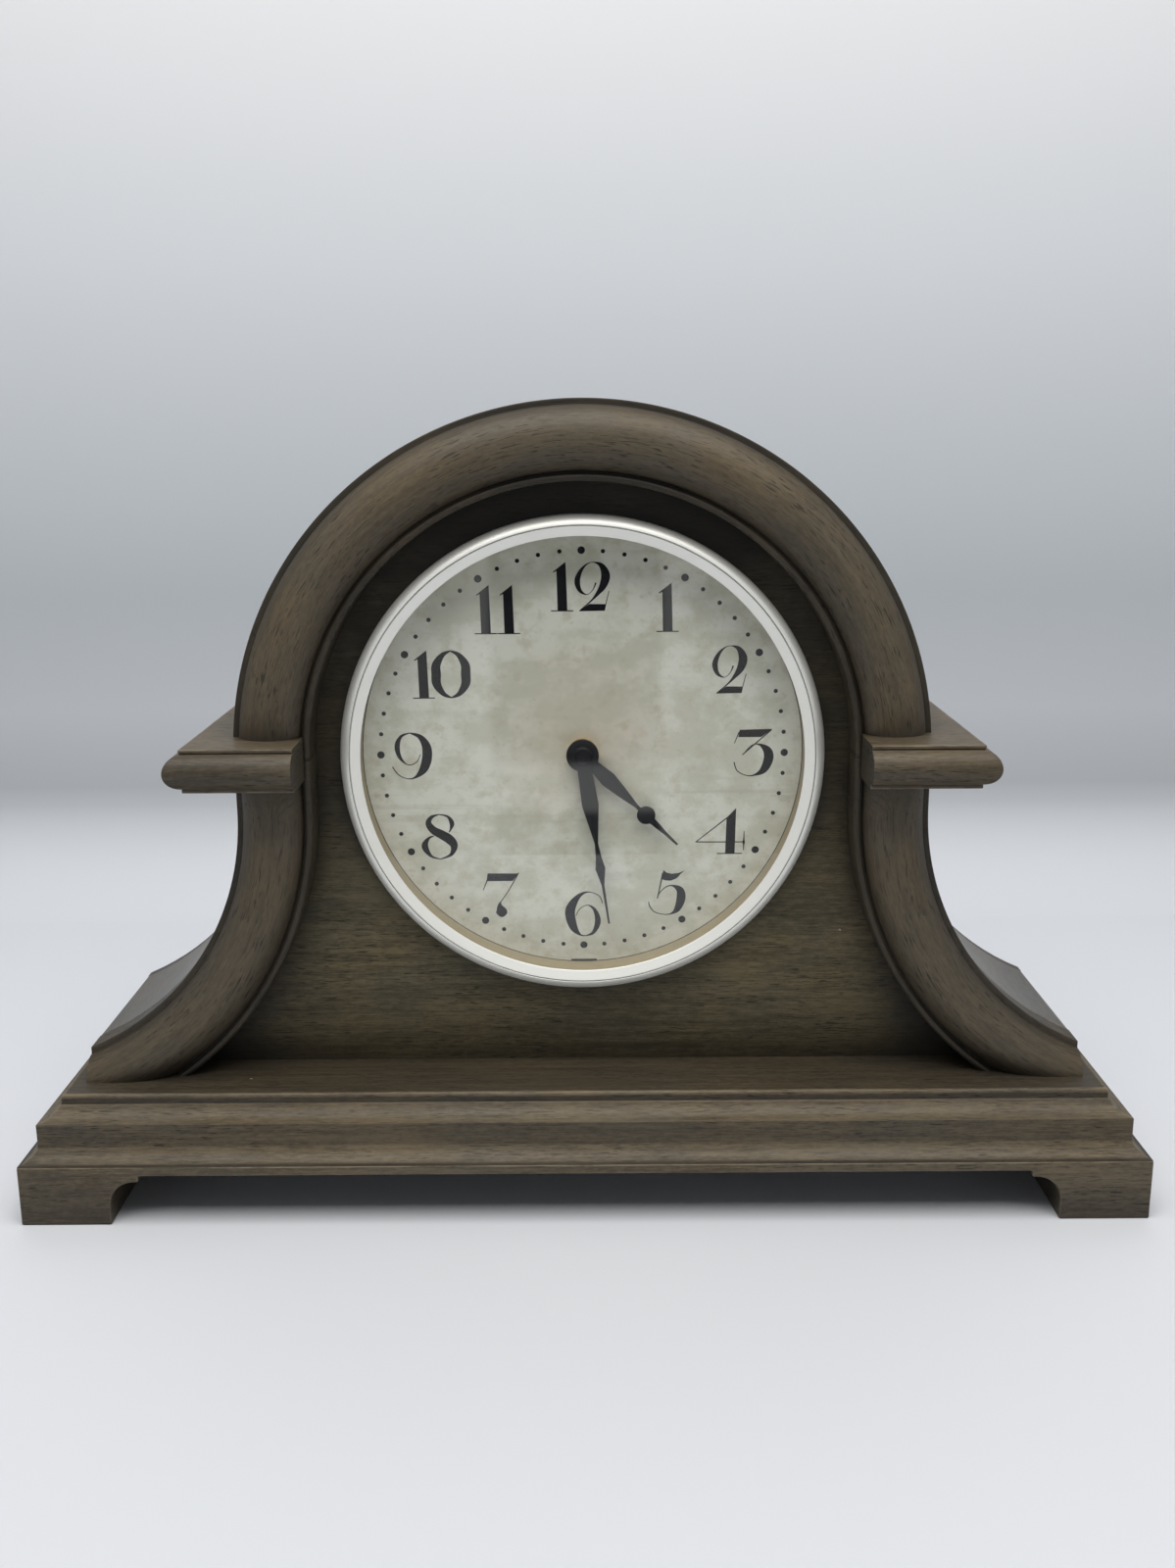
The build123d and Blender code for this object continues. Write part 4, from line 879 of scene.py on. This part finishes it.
def bentHood():
    s = {key: value * mm for key, value in skinSizes.items()}
    inside = archRadius - s["thickness"]
    corners = [(archRadius, panelFront), (archRadius, skinBack), (inside, skinBack), (inside, panelFront)]
    section = softened(corners, s["arris"], s["hold"])
    piece = turnedRing("bentHood", section, archCentre, archSteps, 0.0, math.pi)
    layGrain(piece, lambda p, n: (p.y, archRadius * math.atan2(p.z - springZ, p.x),
                                  math.hypot(p.x, p.z - springZ)))
    return standsFor(piece, "hood", "case", skinWood)


def bentSide(name, side, replaced):
    s = {key: value * mm for key, value in skinSizes.items()}
    flare, radius = flareOf(side)
    legSteps = 40
    outline = []
    for inset, endX in ((0, toeX), (s["thickness"], toeX - s["toe"])):
        curve = radius + inset
        endAngle = math.acos((abs(flare.x) - endX) / curve)
        leg = [(archRadius - inset, springZ)]
        leg += [(abs(flare.x) - curve * math.cos(turn), flare.z - curve * math.sin(turn))
                for turn in (endAngle * k / legSteps for k in range(legSteps + 1))]
        leg.append((endX, baseTop))
        outline += leg if inset == 0 else reversed(leg)
    piece = board(name, [(side * x, z) for x, z in outline], panelFront, skinBack, s["arris"], s["hold"])
    layGrain(piece, lambda p, n: (p.y, p.z, p.x))
    return standsFor(piece, replaced, "case", skinWood)


bentHood()
bentSide("leftSide", -1, "left_side")
bentSide("rightSide", 1, "right_side")
print("skins built")


# Bezel: outer bevel, a fine groove and the inner slope down to the glass

bezelSizes = {"edge": 4.0, "bevel": 3.2, "face": 3.65, "faceDrop": 1.45, "grooveWidth": 0.4,
              "grooveDepth": 0.6, "arris": 0.12, "hold": 0.4, "seat": 0.1, "sleeveWall": 1.2}


def bezelRing():
    s = {key: value * mm for key, value in bezelSizes.items()}
    low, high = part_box("bezel_ring")
    outer = high.x
    ridge = outer - s["bevel"]
    lip = ridge - s["face"]
    front = low.y
    bore = dialHigh.x + s["seat"]
    sleeve = bore + s["sleeveWall"]
    outline = [(outer, panelFront)]
    outline += bowed((outer, panelFront - s["edge"]), (outer, front), (ridge, front), 8)
    groove, deep = ridge - s["grooveWidth"], front + s["grooveDepth"]
    brinkShare, ringSteps = 0.1, 160
    outline += [(ridge, front), (ridge, deep), (groove, deep), (groove, front + brinkShare * s["faceDrop"]),
                (lip, front + s["faceDrop"]), (lip, dialLow.y), (bore, dialLow.y), (bore, high.y),
                (sleeve, high.y), (sleeve, panelFront)]
    piece = turnedRing("bezelRing", softened(outline, s["arris"], s["hold"]), dialCentre, ringSteps)
    return standsFor(piece, "bezel_ring", "case", bezelMetal)


bezelRing()
print("bezel built")


# Dial print: upright numerals with thick stems and hairlines, and a ring of minute dots

dialSizes = {"numeralHeight": 16.3, "numeralRadius": 57.0, "dotRadius": 68.3, "smallDot": 0.72,
             "largeDot": 1.25, "inkThickness": 0.03}
gapShares = {"usual": 0.02, "ten": -0.06}

# How far each numeral was set off its ray, to the right and up, in mm
numeralNudges = {3: (0.9, 0.0), 4: (-2.3, 1.0), 5: (0.4, 0.0), 7: (0.0, -0.5), 8: (0.0, -0.4),
                 9: (-0.9, -0.4), 10: (2.3, -1.1), 11: (0.5, -0.4), 12: (-0.3, -0.6)}

# Each digit in shares of its height: pen strokes of (x, y, width) and plates of corners
digitShares = {
    "0": {"width": 0.80, "pen": [
        [(0.40, 0.986, 0.026), (0.235, 0.90, 0.10), (0.105, 0.70, 0.178), (0.0975, 0.5, 0.195),
         (0.105, 0.30, 0.178), (0.235, 0.10, 0.10), (0.40, 0.014, 0.026)],
        [(0.40, 0.014, 0.026), (0.565, 0.10, 0.10), (0.695, 0.30, 0.178), (0.7025, 0.5, 0.195),
         (0.695, 0.70, 0.178), (0.565, 0.90, 0.10), (0.40, 0.986, 0.026)]]},
    "1": {"width": 0.455, "plates": [
        [(0.134, 0.01), (0.332, 0.01), (0.304, 1.0), (0.045, 0.80), (0.052, 0.782), (0.118, 0.815)],
        [(0.0, 0.0), (0.455, 0.0), (0.455, 0.022), (0.0, 0.022)]]},
    "2": {"width": 0.73, "pen": [
        [(0.438, 0.575, 0.034), (0.375, 0.43, 0.016), (0.255, 0.338, 0.016), (0.115, 0.42, 0.075),
         (0.062, 0.61, 0.115), (0.13, 0.81, 0.075), (0.26, 0.95, 0.026), (0.40, 0.985, 0.018),
         (0.55, 0.92, 0.10), (0.635, 0.73, 0.178), (0.585, 0.52, 0.15), (0.45, 0.33, 0.066),
         (0.32, 0.19, 0.028), (0.105, 0.012, 0.016)],
        [(0.632, 0.12, 0.018), (0.705, 0.41, 0.016)]],
          "plates": [[(0.09, 0.0), (0.62, 0.008), (0.645, 0.142), (0.30, 0.146)]]},
    "3": {"width": 0.84, "pen": [
        [(0.115, 0.94, 0.024), (0.018, 0.70, 0.016)],
        [(0.785, 0.985, 0.024), (0.19, 0.455, 0.022)],
        [(0.21, 0.47, 0.018), (0.37, 0.645, 0.02), (0.53, 0.675, 0.034), (0.70, 0.55, 0.17),
         (0.735, 0.37, 0.20), (0.64, 0.14, 0.15), (0.47, 0.03, 0.045), (0.29, 0.012, 0.018),
         (0.09, 0.11, 0.022), (0.018, 0.30, 0.024)]],
          "plates": [[(0.125, 0.985), (0.80, 1.0), (0.57, 0.83), (0.10, 0.83)]]},
    "4": {"width": 1.045, "pen": [
        [(0.66, 0.79, 0.024), (0.015, 0.272, 0.018)],
        [(0.0, 0.268, 0.022), (1.02, 0.262, 0.022)],
        [(1.022, 0.50, 0.014), (1.02, 0.32, 0.03), (1.018, 0.262, 0.055), (1.018, 0.20, 0.03),
         (1.014, 0.08, 0.014)]],
          "plates": [[(0.63, 0.01), (0.83, 0.01), (0.848, 1.0), (0.65, 0.79)],
                     [(0.46, 0.0), (0.985, 0.0), (0.985, 0.022), (0.46, 0.022)]]},
    "5": {"width": 0.80, "pen": [
        [(0.31, 0.93, 0.036), (0.265, 0.70, 0.028), (0.195, 0.36, 0.022)],
        [(0.20, 0.385, 0.018), (0.25, 0.50, 0.02), (0.385, 0.625, 0.022), (0.52, 0.648, 0.036),
         (0.67, 0.555, 0.15), (0.70, 0.375, 0.19), (0.625, 0.14, 0.135), (0.50, 0.03, 0.036),
         (0.335, 0.01, 0.018), (0.14, 0.065, 0.02), (0.035, 0.19, 0.026), (0.01, 0.295, 0.018)]],
          "plates": [[(0.322, 1.0), (0.385, 0.94), (0.50, 0.912), (0.65, 0.93), (0.775, 0.988), (0.69, 0.91),
                      (0.60, 0.808), (0.475, 0.76), (0.35, 0.768), (0.285, 0.80)]]},
    "6": {"width": 0.79, "pen": [
        [(0.795, 0.735, 0.02), (0.725, 0.90, 0.02), (0.50, 0.988, 0.022), (0.30, 0.905, 0.09),
         (0.14, 0.68, 0.19), (0.105, 0.48, 0.21), (0.18, 0.20, 0.165), (0.315, 0.035, 0.045),
         (0.44, 0.01, 0.018)],
        [(0.44, 0.01, 0.018), (0.60, 0.085, 0.07), (0.695, 0.33, 0.125), (0.635, 0.58, 0.075),
         (0.485, 0.695, 0.018), (0.315, 0.615, 0.018), (0.23, 0.46, 0.016)]]},
    "7": {"width": 0.775, "pen": [
        [(0.10, 0.84, 0.026), (0.005, 0.605, 0.016)],
        [(0.762, 0.985, 0.026), (0.56, 0.62, 0.02), (0.36, 0.32, 0.02)],
        [(0.365, 0.345, 0.016), (0.352, 0.25, 0.11), (0.385, 0.13, 0.235), (0.39, 0.06, 0.19),
         (0.39, 0.004, 0.05)]],
          "plates": [[(0.105, 0.975), (0.735, 0.97), (0.775, 1.0), (0.635, 0.806), (0.082, 0.806)]]},
    "8": {"width": 0.77, "pen": [
        [(0.39, 0.988, 0.022), (0.235, 0.93, 0.07), (0.165, 0.80, 0.125), (0.26, 0.65, 0.165),
         (0.43, 0.55, 0.19), (0.60, 0.44, 0.20), (0.69, 0.30, 0.155), (0.62, 0.11, 0.07),
         (0.40, 0.012, 0.02)],
        [(0.39, 0.988, 0.02), (0.57, 0.94, 0.05), (0.655, 0.80, 0.10), (0.63, 0.67, 0.045),
         (0.59, 0.60, 0.02)],
        [(0.40, 0.012, 0.02), (0.20, 0.08, 0.06), (0.075, 0.29, 0.14), (0.15, 0.46, 0.06),
         (0.27, 0.52, 0.02)]]},
    "9": {"width": 0.84, "pen": [
        [(0.39, 0.985, 0.02), (0.60, 0.905, 0.10), (0.73, 0.70, 0.185), (0.735, 0.44, 0.205),
         (0.65, 0.205, 0.165), (0.485, 0.045, 0.05), (0.32, 0.012, 0.018), (0.13, 0.10, 0.022),
         (0.012, 0.27, 0.024)],
        [(0.39, 0.985, 0.02), (0.21, 0.91, 0.06), (0.125, 0.71, 0.11), (0.165, 0.485, 0.08),
         (0.29, 0.335, 0.024), (0.405, 0.31, 0.018), (0.535, 0.385, 0.018), (0.60, 0.53, 0.016)]]}}


def smoothLine(points, steps=7):
    # Curve through every point, widths with it
    if len(points) == 2:
        return list(points)
    padded = [points[0]] + list(points) + [points[-1]]
    line = []
    for a, b, c, d in zip(padded, padded[1:], padded[2:], padded[3:]):
        for step in range(steps):
            t = step / steps
            line.append(tuple(0.5 * (2 * q + (r - p) * t + (2 * p - 5 * q + 4 * r - s) * t * t
                                     + (3 * q - p - 3 * r + s) * t ** 3) for p, q, r, s in zip(a, b, c, d)))
    return line + [points[-1]]


def penRails(points):
    # Both edges of a pen stroke
    leastWidth = 0.012
    line = smoothLine(points)
    left = []
    right = []
    for index, (x, y, width) in enumerate(line):
        before, after = line[max(index - 1, 0)], line[min(index + 1, len(line) - 1)]
        direction = Vector((after[0] - before[0], after[1] - before[1])).normalized()
        half = max(width, leastWidth) / 2
        left.append((x - direction.y * half, y + direction.x * half))
        right.append((x + direction.y * half, y - direction.x * half))
    return left, right


def inkPlate(verts, faces, corners, front, back):
    # Thin closed plate from an outline in X and Z
    first, count = len(verts), len(corners)
    verts += [(x, front, z) for x, z in corners] + [(x, back, z) for x, z in corners]
    faces.append(tuple(range(first, first + count)))
    faces.append(tuple(range(first + 2 * count - 1, first + count - 1, -1)))
    for i in range(count):
        j = (i + 1) % count
        faces.append((first + i, first + count + i, first + count + j, first + j))


def inkRibbon(verts, faces, left, right, front, back):
    # Thin closed ribbon between two rails
    first = len(verts)
    for a, b in zip(left, right):
        verts += [(a[0], front, a[1]), (b[0], front, b[1]), (b[0], back, b[1]), (a[0], back, a[1])]
    for k in range(len(left) - 1):
        low, high = first + 4 * k, first + 4 * k + 4
        for i in range(4):
            j = (i + 1) % 4
            faces.append((low + i, low + j, high + j, high + i))
    last = first + 4 * (len(left) - 1)
    faces.append((first + 3, first + 2, first + 1, first))
    faces.append((last, last + 1, last + 2, last + 3))


def inkPiece(name, verts, faces):
    mesh = newMesh(name, verts, faces)
    faceOutwards(mesh)
    mesh.materials.append(dialInk)
    piece = newPiece(name, mesh)
    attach(piece, "case")
    return piece


def numeral(hour, front, back):
    height, reach = dialSizes["numeralHeight"] * mm, dialSizes["numeralRadius"] * mm
    digits = str(hour)
    gap = gapShares["ten" if hour == 10 else "usual"]
    right, up = numeralNudges.get(hour, (0.0, 0.0))
    width = sum(digitShares[digit]["width"] for digit in digits) + gap * (len(digits) - 1)
    angle = math.radians(30 * hour)
    left = reach * math.sin(angle) - width * height / 2 + right * mm
    bottom = dialCentre.z + reach * math.cos(angle) - height / 2 + up * mm
    verts = []
    faces = []
    for digit in digits:
        shape = digitShares[digit]
        for stroke in shape.get("pen", ()):
            rails = [[(left + x * height, bottom + y * height) for x, y in rail] for rail in penRails(stroke)]
            inkRibbon(verts, faces, rails[0], rails[1], front, back)
        for plate in shape.get("plates", ()):
            corners = [(left + x * height, bottom + y * height) for x, y in plate]
            inkPlate(verts, faces, corners, front, back)
        left += (shape["width"] + gap) * height
    return inkPiece("numeral%02d" % hour, verts, faces)


def minuteDots(front, back):
    ring = dialSizes["dotRadius"] * mm
    turns = [math.pi * k / 12 for k in range(24)]
    verts = []
    faces = []
    for minute in range(60):
        angle = math.radians(6 * minute)
        radius = (dialSizes["smallDot"] if minute % 5 else dialSizes["largeDot"]) * mm
        x, z = ring * math.sin(angle), dialCentre.z + ring * math.cos(angle)
        corners = [(x + radius * math.cos(turn), z + radius * math.sin(turn)) for turn in turns]
        inkPlate(verts, faces, corners, front, back)
    return inkPiece("minuteDots", verts, faces)


def dialPrint():
    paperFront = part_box("dial_paper")[0].y
    inkFront = paperFront - dialSizes["inkThickness"] * mm
    for hour in range(1, 13):
        numeral(hour, inkFront, paperFront)
    minuteDots(inkFront, paperFront)


dialPrint()
print("dial printed")


# Hands: stamped blades with eased edges, and the rimmed cap

handSizes = {"arris": 0.1, "hold": 0.16, "hub": 5.5, "capFace": 0.03, "capRim": 0.35, "capArris": 0.12,
             "capHold": 0.3, "minuteLength": 60.0, "minuteBelly": 5.7, "hourLength": 45.0,
             "hourBelly": 5.5, "hourDisc": 3.15}
handAngles = {"minute": 171.6, "hour": 134.3, "discFrom": -78, "discSweep": 146}
discShare = 0.667

# The cap's face from its edge inwards: share of the radius, share of the rim's height
capShares = [(1.0, 0.0), (0.86, 1.0), (0.7, 1.0), (0.62, 0.0), (0.0, 0.0)]

# Blade outlines in shares of the hand's length and of its widest half
minuteShares = [(0.16, 0.9), (0.29, 1.0), (0.4, 0.6), (0.517, 0.21), (0.60, 0.35), (0.667, 0.6), (0.72, 0.36),
                (0.767, 0.17), (1.0, 0.11)]
hourShares = [(0.12, 0.72), (0.27, 1.0), (0.43, 0.62), (0.56, 0.25)]
hourTipShares = [(0.80, 0.34), (0.86, 0.22), (1.0, 0.13)]


def bladeOutline(sides, length, belly, hub):
    # Right-hand side from the hub to the tip, then back along the left; the hub closes it
    right = [(across * belly / 2, along * length) for along, across in sides]
    start = math.atan2(right[0][1], right[0][0])
    turn = 2 * math.pi - 2 * (math.pi / 2 - start)
    hubSteps = 28
    hubSide = [(hub * math.cos(angle), hub * math.sin(angle))
               for angle in (math.pi - start + turn * k / hubSteps for k in range(1, hubSteps))]
    left = [(-x, y) for x, y in reversed(right)]
    return right + left + hubSide


def handPiece(name, outline, turn, replaced, body):
    s = {key: handSizes[key] * mm for key in ("arris", "hold")}
    low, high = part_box(replaced)
    angle = math.radians(turn)
    turned = [(x * math.cos(angle) + y * math.sin(angle),
               dialCentre.z - x * math.sin(angle) + y * math.cos(angle)) for x, y in outline]
    piece = board(name, turned, low.y, high.y, s["arris"], s["hold"])
    piece.data.set_sharp_from_angle(angle=math.radians(50))
    return standsFor(piece, replaced, body, handBlack)


def hands():
    s = {key: value * mm for key, value in handSizes.items()}
    minute = bladeOutline(minuteShares, s["minuteLength"], s["minuteBelly"], s["hub"])
    handPiece("minuteBlade", minute, handAngles["minute"], "minute_hand", "minute")
    length, belly, disc = s["hourLength"], s["hourBelly"], s["hourDisc"]
    discAt, discSteps = discShare * length, 12
    sides = list(hourShares)
    for k in range(discSteps + 1):
        angle = math.radians(handAngles["discFrom"] + handAngles["discSweep"] * k / discSteps)
        sides.append(((discAt + disc * math.sin(angle)) / length, disc * math.cos(angle) / (belly / 2)))
    hour = bladeOutline(sides + hourTipShares, length, belly, s["hub"])
    handPiece("hourBlade", hour, handAngles["hour"], "hour_hand", "hour")
    low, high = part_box("hand_cap")
    radius, face, capSteps = high.x, low.y - s["capFace"], 48
    outline = [(0.0, high.y), (radius, high.y)]
    outline += [(share * radius, face - lifted * s["capRim"]) for share, lifted in capShares]
    cap = turnedRing("handCap", softened(outline, s["capArris"], s["capHold"]), dialCentre, capSteps)
    standsFor(cap, "hand_cap", "minute", handBlack)


hands()
print("hands built")


# Camera, lamps, floor and backdrop

cameraSizes = {"place": (1.6, -495.3, 255.8), "pitch": 13.45, "roll": 0.36, "focalPixels": 1505,
               "framePixels": 1600, "sensor": 36.0, "nearClip": 0.01}


def photoCamera():
    pitch, roll = math.radians(cameraSizes["pitch"]), math.radians(cameraSizes["roll"])
    forward = Vector((0, math.cos(pitch), -math.sin(pitch)))
    level = Vector((1, 0, 0))
    upright = level.cross(forward)
    right = level * math.cos(roll) - upright * math.sin(roll)
    up = upright * math.cos(roll) + level * math.sin(roll)
    data = bpy.data.cameras.new("photoCamera")
    data.sensor_width = cameraSizes["sensor"]
    data.lens = cameraSizes["sensor"] * cameraSizes["focalPixels"] / cameraSizes["framePixels"]
    data.clip_start = cameraSizes["nearClip"]
    camera = newPiece("photoCamera", data)
    spot = Vector(cameraSizes["place"]) * mm
    camera.matrix_world = Matrix.Translation(spot) @ Matrix((right, up, -forward)).transposed().to_4x4()
    bpy.context.scene.camera = camera


stageSizes = {"half": 8.0, "floorFront": -0.42, "sweepStart": 0.26, "sweepRadius": 0.16, "sweepLift": 0.0005,
              "wallTop": 5.0, "fadeTop": 0.75}
flagSizes = {"depth": -0.95, "half": 1.5, "low": -0.4, "high": 0.26, "darkHalf": 0.0825, "darkShift": 0.0085,
             "stripeAt": -0.086, "stripeHalf": 0.024, "darkFade": 0.006, "levelFade": 0.05}
flagLevels = {"near": 0.72, "far": 0.4}
floorColour = (0.79, 0.82, 0.88, 1)
# Painted shade on the backdrop by height: darkest just above the floor, paler higher up
backdropStops = {0.0: floorColour, 0.01: (0.42, 0.445, 0.48, 1), 0.038: (0.53, 0.56, 0.605, 1),
                 0.11: (0.545, 0.585, 0.625, 1), 0.2: (0.62, 0.665, 0.71, 1), 0.45: (0.79, 0.83, 0.88, 1),
                 0.75: (0.94, 0.96, 1.0, 1), 1.0: (0.96, 0.97, 1.0, 1)}
lampSizes = {"spot": (0, -0.36, 1.1), "aim": (0, -0.1, 0.1), "width": 1.3, "height": 0.8, "power": 12.6}
lampColour = (1.0, 0.972, 0.925)
skyColour = (0.93, 0.96, 1.0, 1)
skyLevels = {"lighting": 0.15, "seen": 0.7}


def stagePaper(name, colour, roughness):
    material, tree, shader = newMaterial(name)
    shader.inputs["Base Color"].default_value = colour
    shader.inputs["Roughness"].default_value = roughness
    parts = node(tree, "SeparateXYZ")
    tree.links.new(node(tree, "TexCoord").outputs["Object"], parts.inputs[0])
    return material, tree, shader, parts.outputs


def stagePiece(name, mesh, material, reflectedOnly=False):
    mesh.materials.append(material)
    piece = newPiece(name, mesh)
    if reflectedOnly:
        piece.visible_camera = False
        piece.visible_diffuse = False
        piece.visible_shadow = False


def floor():
    half, front = stageSizes["half"], stageSizes["floorFront"]
    corners = [(-half, front, 0), (half, front, 0), (half, half, 0), (-half, half, 0)]
    material = stagePaper("floorPaper", floorColour, 0.55)[0]
    stagePiece("floor", newMesh("floor", corners, [(0, 1, 2, 3)]), material)


def reflectedCard():
    # Glowing card beyond the table's front edge, seen only in reflections: a painted reflection, dark in the
    # middle and pale at the sides
    s = flagSizes
    material, tree, shader, parts = stagePaper("glowingCard", (0.02, 0.02, 0.022, 1), 0.9)
    aside = math2(tree, "ABSOLUTE", math2(tree, "ADD", parts["X"], s["darkShift"]), 0.0)
    beside = math2(tree, "ABSOLUTE", math2(tree, "SUBTRACT", parts["Z"], s["stripeAt"]), 0.0)
    edge, fade = s["darkHalf"], s["darkFade"]
    outside = ramp(tree, aside, edge - fade, edge + fade)
    stripe = ramp(tree, beside, s["stripeHalf"] - fade, s["stripeHalf"] + fade, 1.0, 0.0)
    level = ramp(tree, aside, edge, edge + s["levelFade"], flagLevels["near"], flagLevels["far"])
    pale = math2(tree, "MULTIPLY", math2(tree, "MAXIMUM", outside, stripe), level)
    tree.links.new(mixColour(tree, pale, (0.0, 0.0, 0.0), (1.0, 1.0, 1.0)), shader.inputs["Emission Color"])
    shader.inputs["Emission Strength"].default_value = 1.0
    wide, depth, low, high = s["half"], s["depth"], s["low"], s["high"]
    corners = [(-wide, depth, low), (wide, depth, low), (wide, depth, high), (-wide, depth, high)]
    stagePiece("flag", newMesh("flag", corners, [(0, 1, 2, 3)]), material, reflectedOnly=True)


def backdrop():
    # Paper swept up behind the clock, with painted shade: darkest just above the floor, paler with height;
    # clear from behind
    half, radius, start = (stageSizes[key] for key in ("half", "sweepRadius", "sweepStart"))
    sweepSteps = 16
    line = [(start + radius * math.sin(turn), stageSizes["sweepLift"] + radius * (1 - math.cos(turn)))
            for turn in (math.pi / 2 * k / sweepSteps for k in range(sweepSteps + 1))]
    line.append((line[-1][0], stageSizes["wallTop"]))
    verts = [(x, y, z) for y, z in line for x in (-half, half)]
    faces = [(2 * k, 2 * k + 1, 2 * k + 3, 2 * k + 2) for k in range(len(line) - 1)]
    mesh = newMesh("backdrop", verts, faces)
    mesh.shade_smooth()
    material, tree, shader, parts = stagePaper("backdropPaper", floorColour, 0.7)
    fade = node(tree, "ValToRGB")
    stops = fade.color_ramp.elements
    for position in sorted(backdropStops)[1:-1]:
        stops.new(position)
    for stop, position in zip(stops, sorted(backdropStops)):
        stop.color = backdropStops[position]
    tree.links.new(ramp(tree, parts["Z"], 0.0, stageSizes["fadeTop"]), fade.inputs[0])
    tree.links.new(fade.outputs[0], shader.inputs["Base Color"])
    letThrough(tree, shader, node(tree, "NewGeometry").outputs["Backfacing"])
    stagePiece("backdrop", mesh, material)


def overheadLamp():
    data = bpy.data.lights.new("overhead", "AREA")
    data.shape = "RECTANGLE"
    data.size, data.size_y = lampSizes["width"], lampSizes["height"]
    data.energy = lampSizes["power"]
    data.color = lampColour
    spot = Vector(lampSizes["spot"])
    turned = (Vector(lampSizes["aim"]) - spot).to_track_quat("-Z", "Y").to_matrix().to_4x4()
    newPiece("overhead", data).matrix_world = Matrix.Translation(spot) @ turned


def surroundings():
    world = bpy.data.worlds.new("surroundings")
    bpy.context.scene.world = world
    world.use_nodes = True
    tree = world.node_tree
    sky = tree.nodes["Background"]
    sky.inputs["Color"].default_value = skyColour
    path = node(tree, "LightPath")
    seen = math2(tree, "MAXIMUM", path.outputs["Is Camera Ray"], path.outputs["Is Glossy Ray"])
    seen = math2(tree, "MAXIMUM", seen, path.outputs["Is Transmission Ray"])
    strength = ramp(tree, seen, 0.0, 1.0, skyLevels["lighting"], skyLevels["seen"])
    tree.links.new(strength, sky.inputs["Strength"])


photoCamera()
floor()
reflectedCard()
backdrop()
surroundings()
overheadLamp()
bpy.context.scene.view_settings.view_transform = "Standard"
print("camera, lamps and stage set")
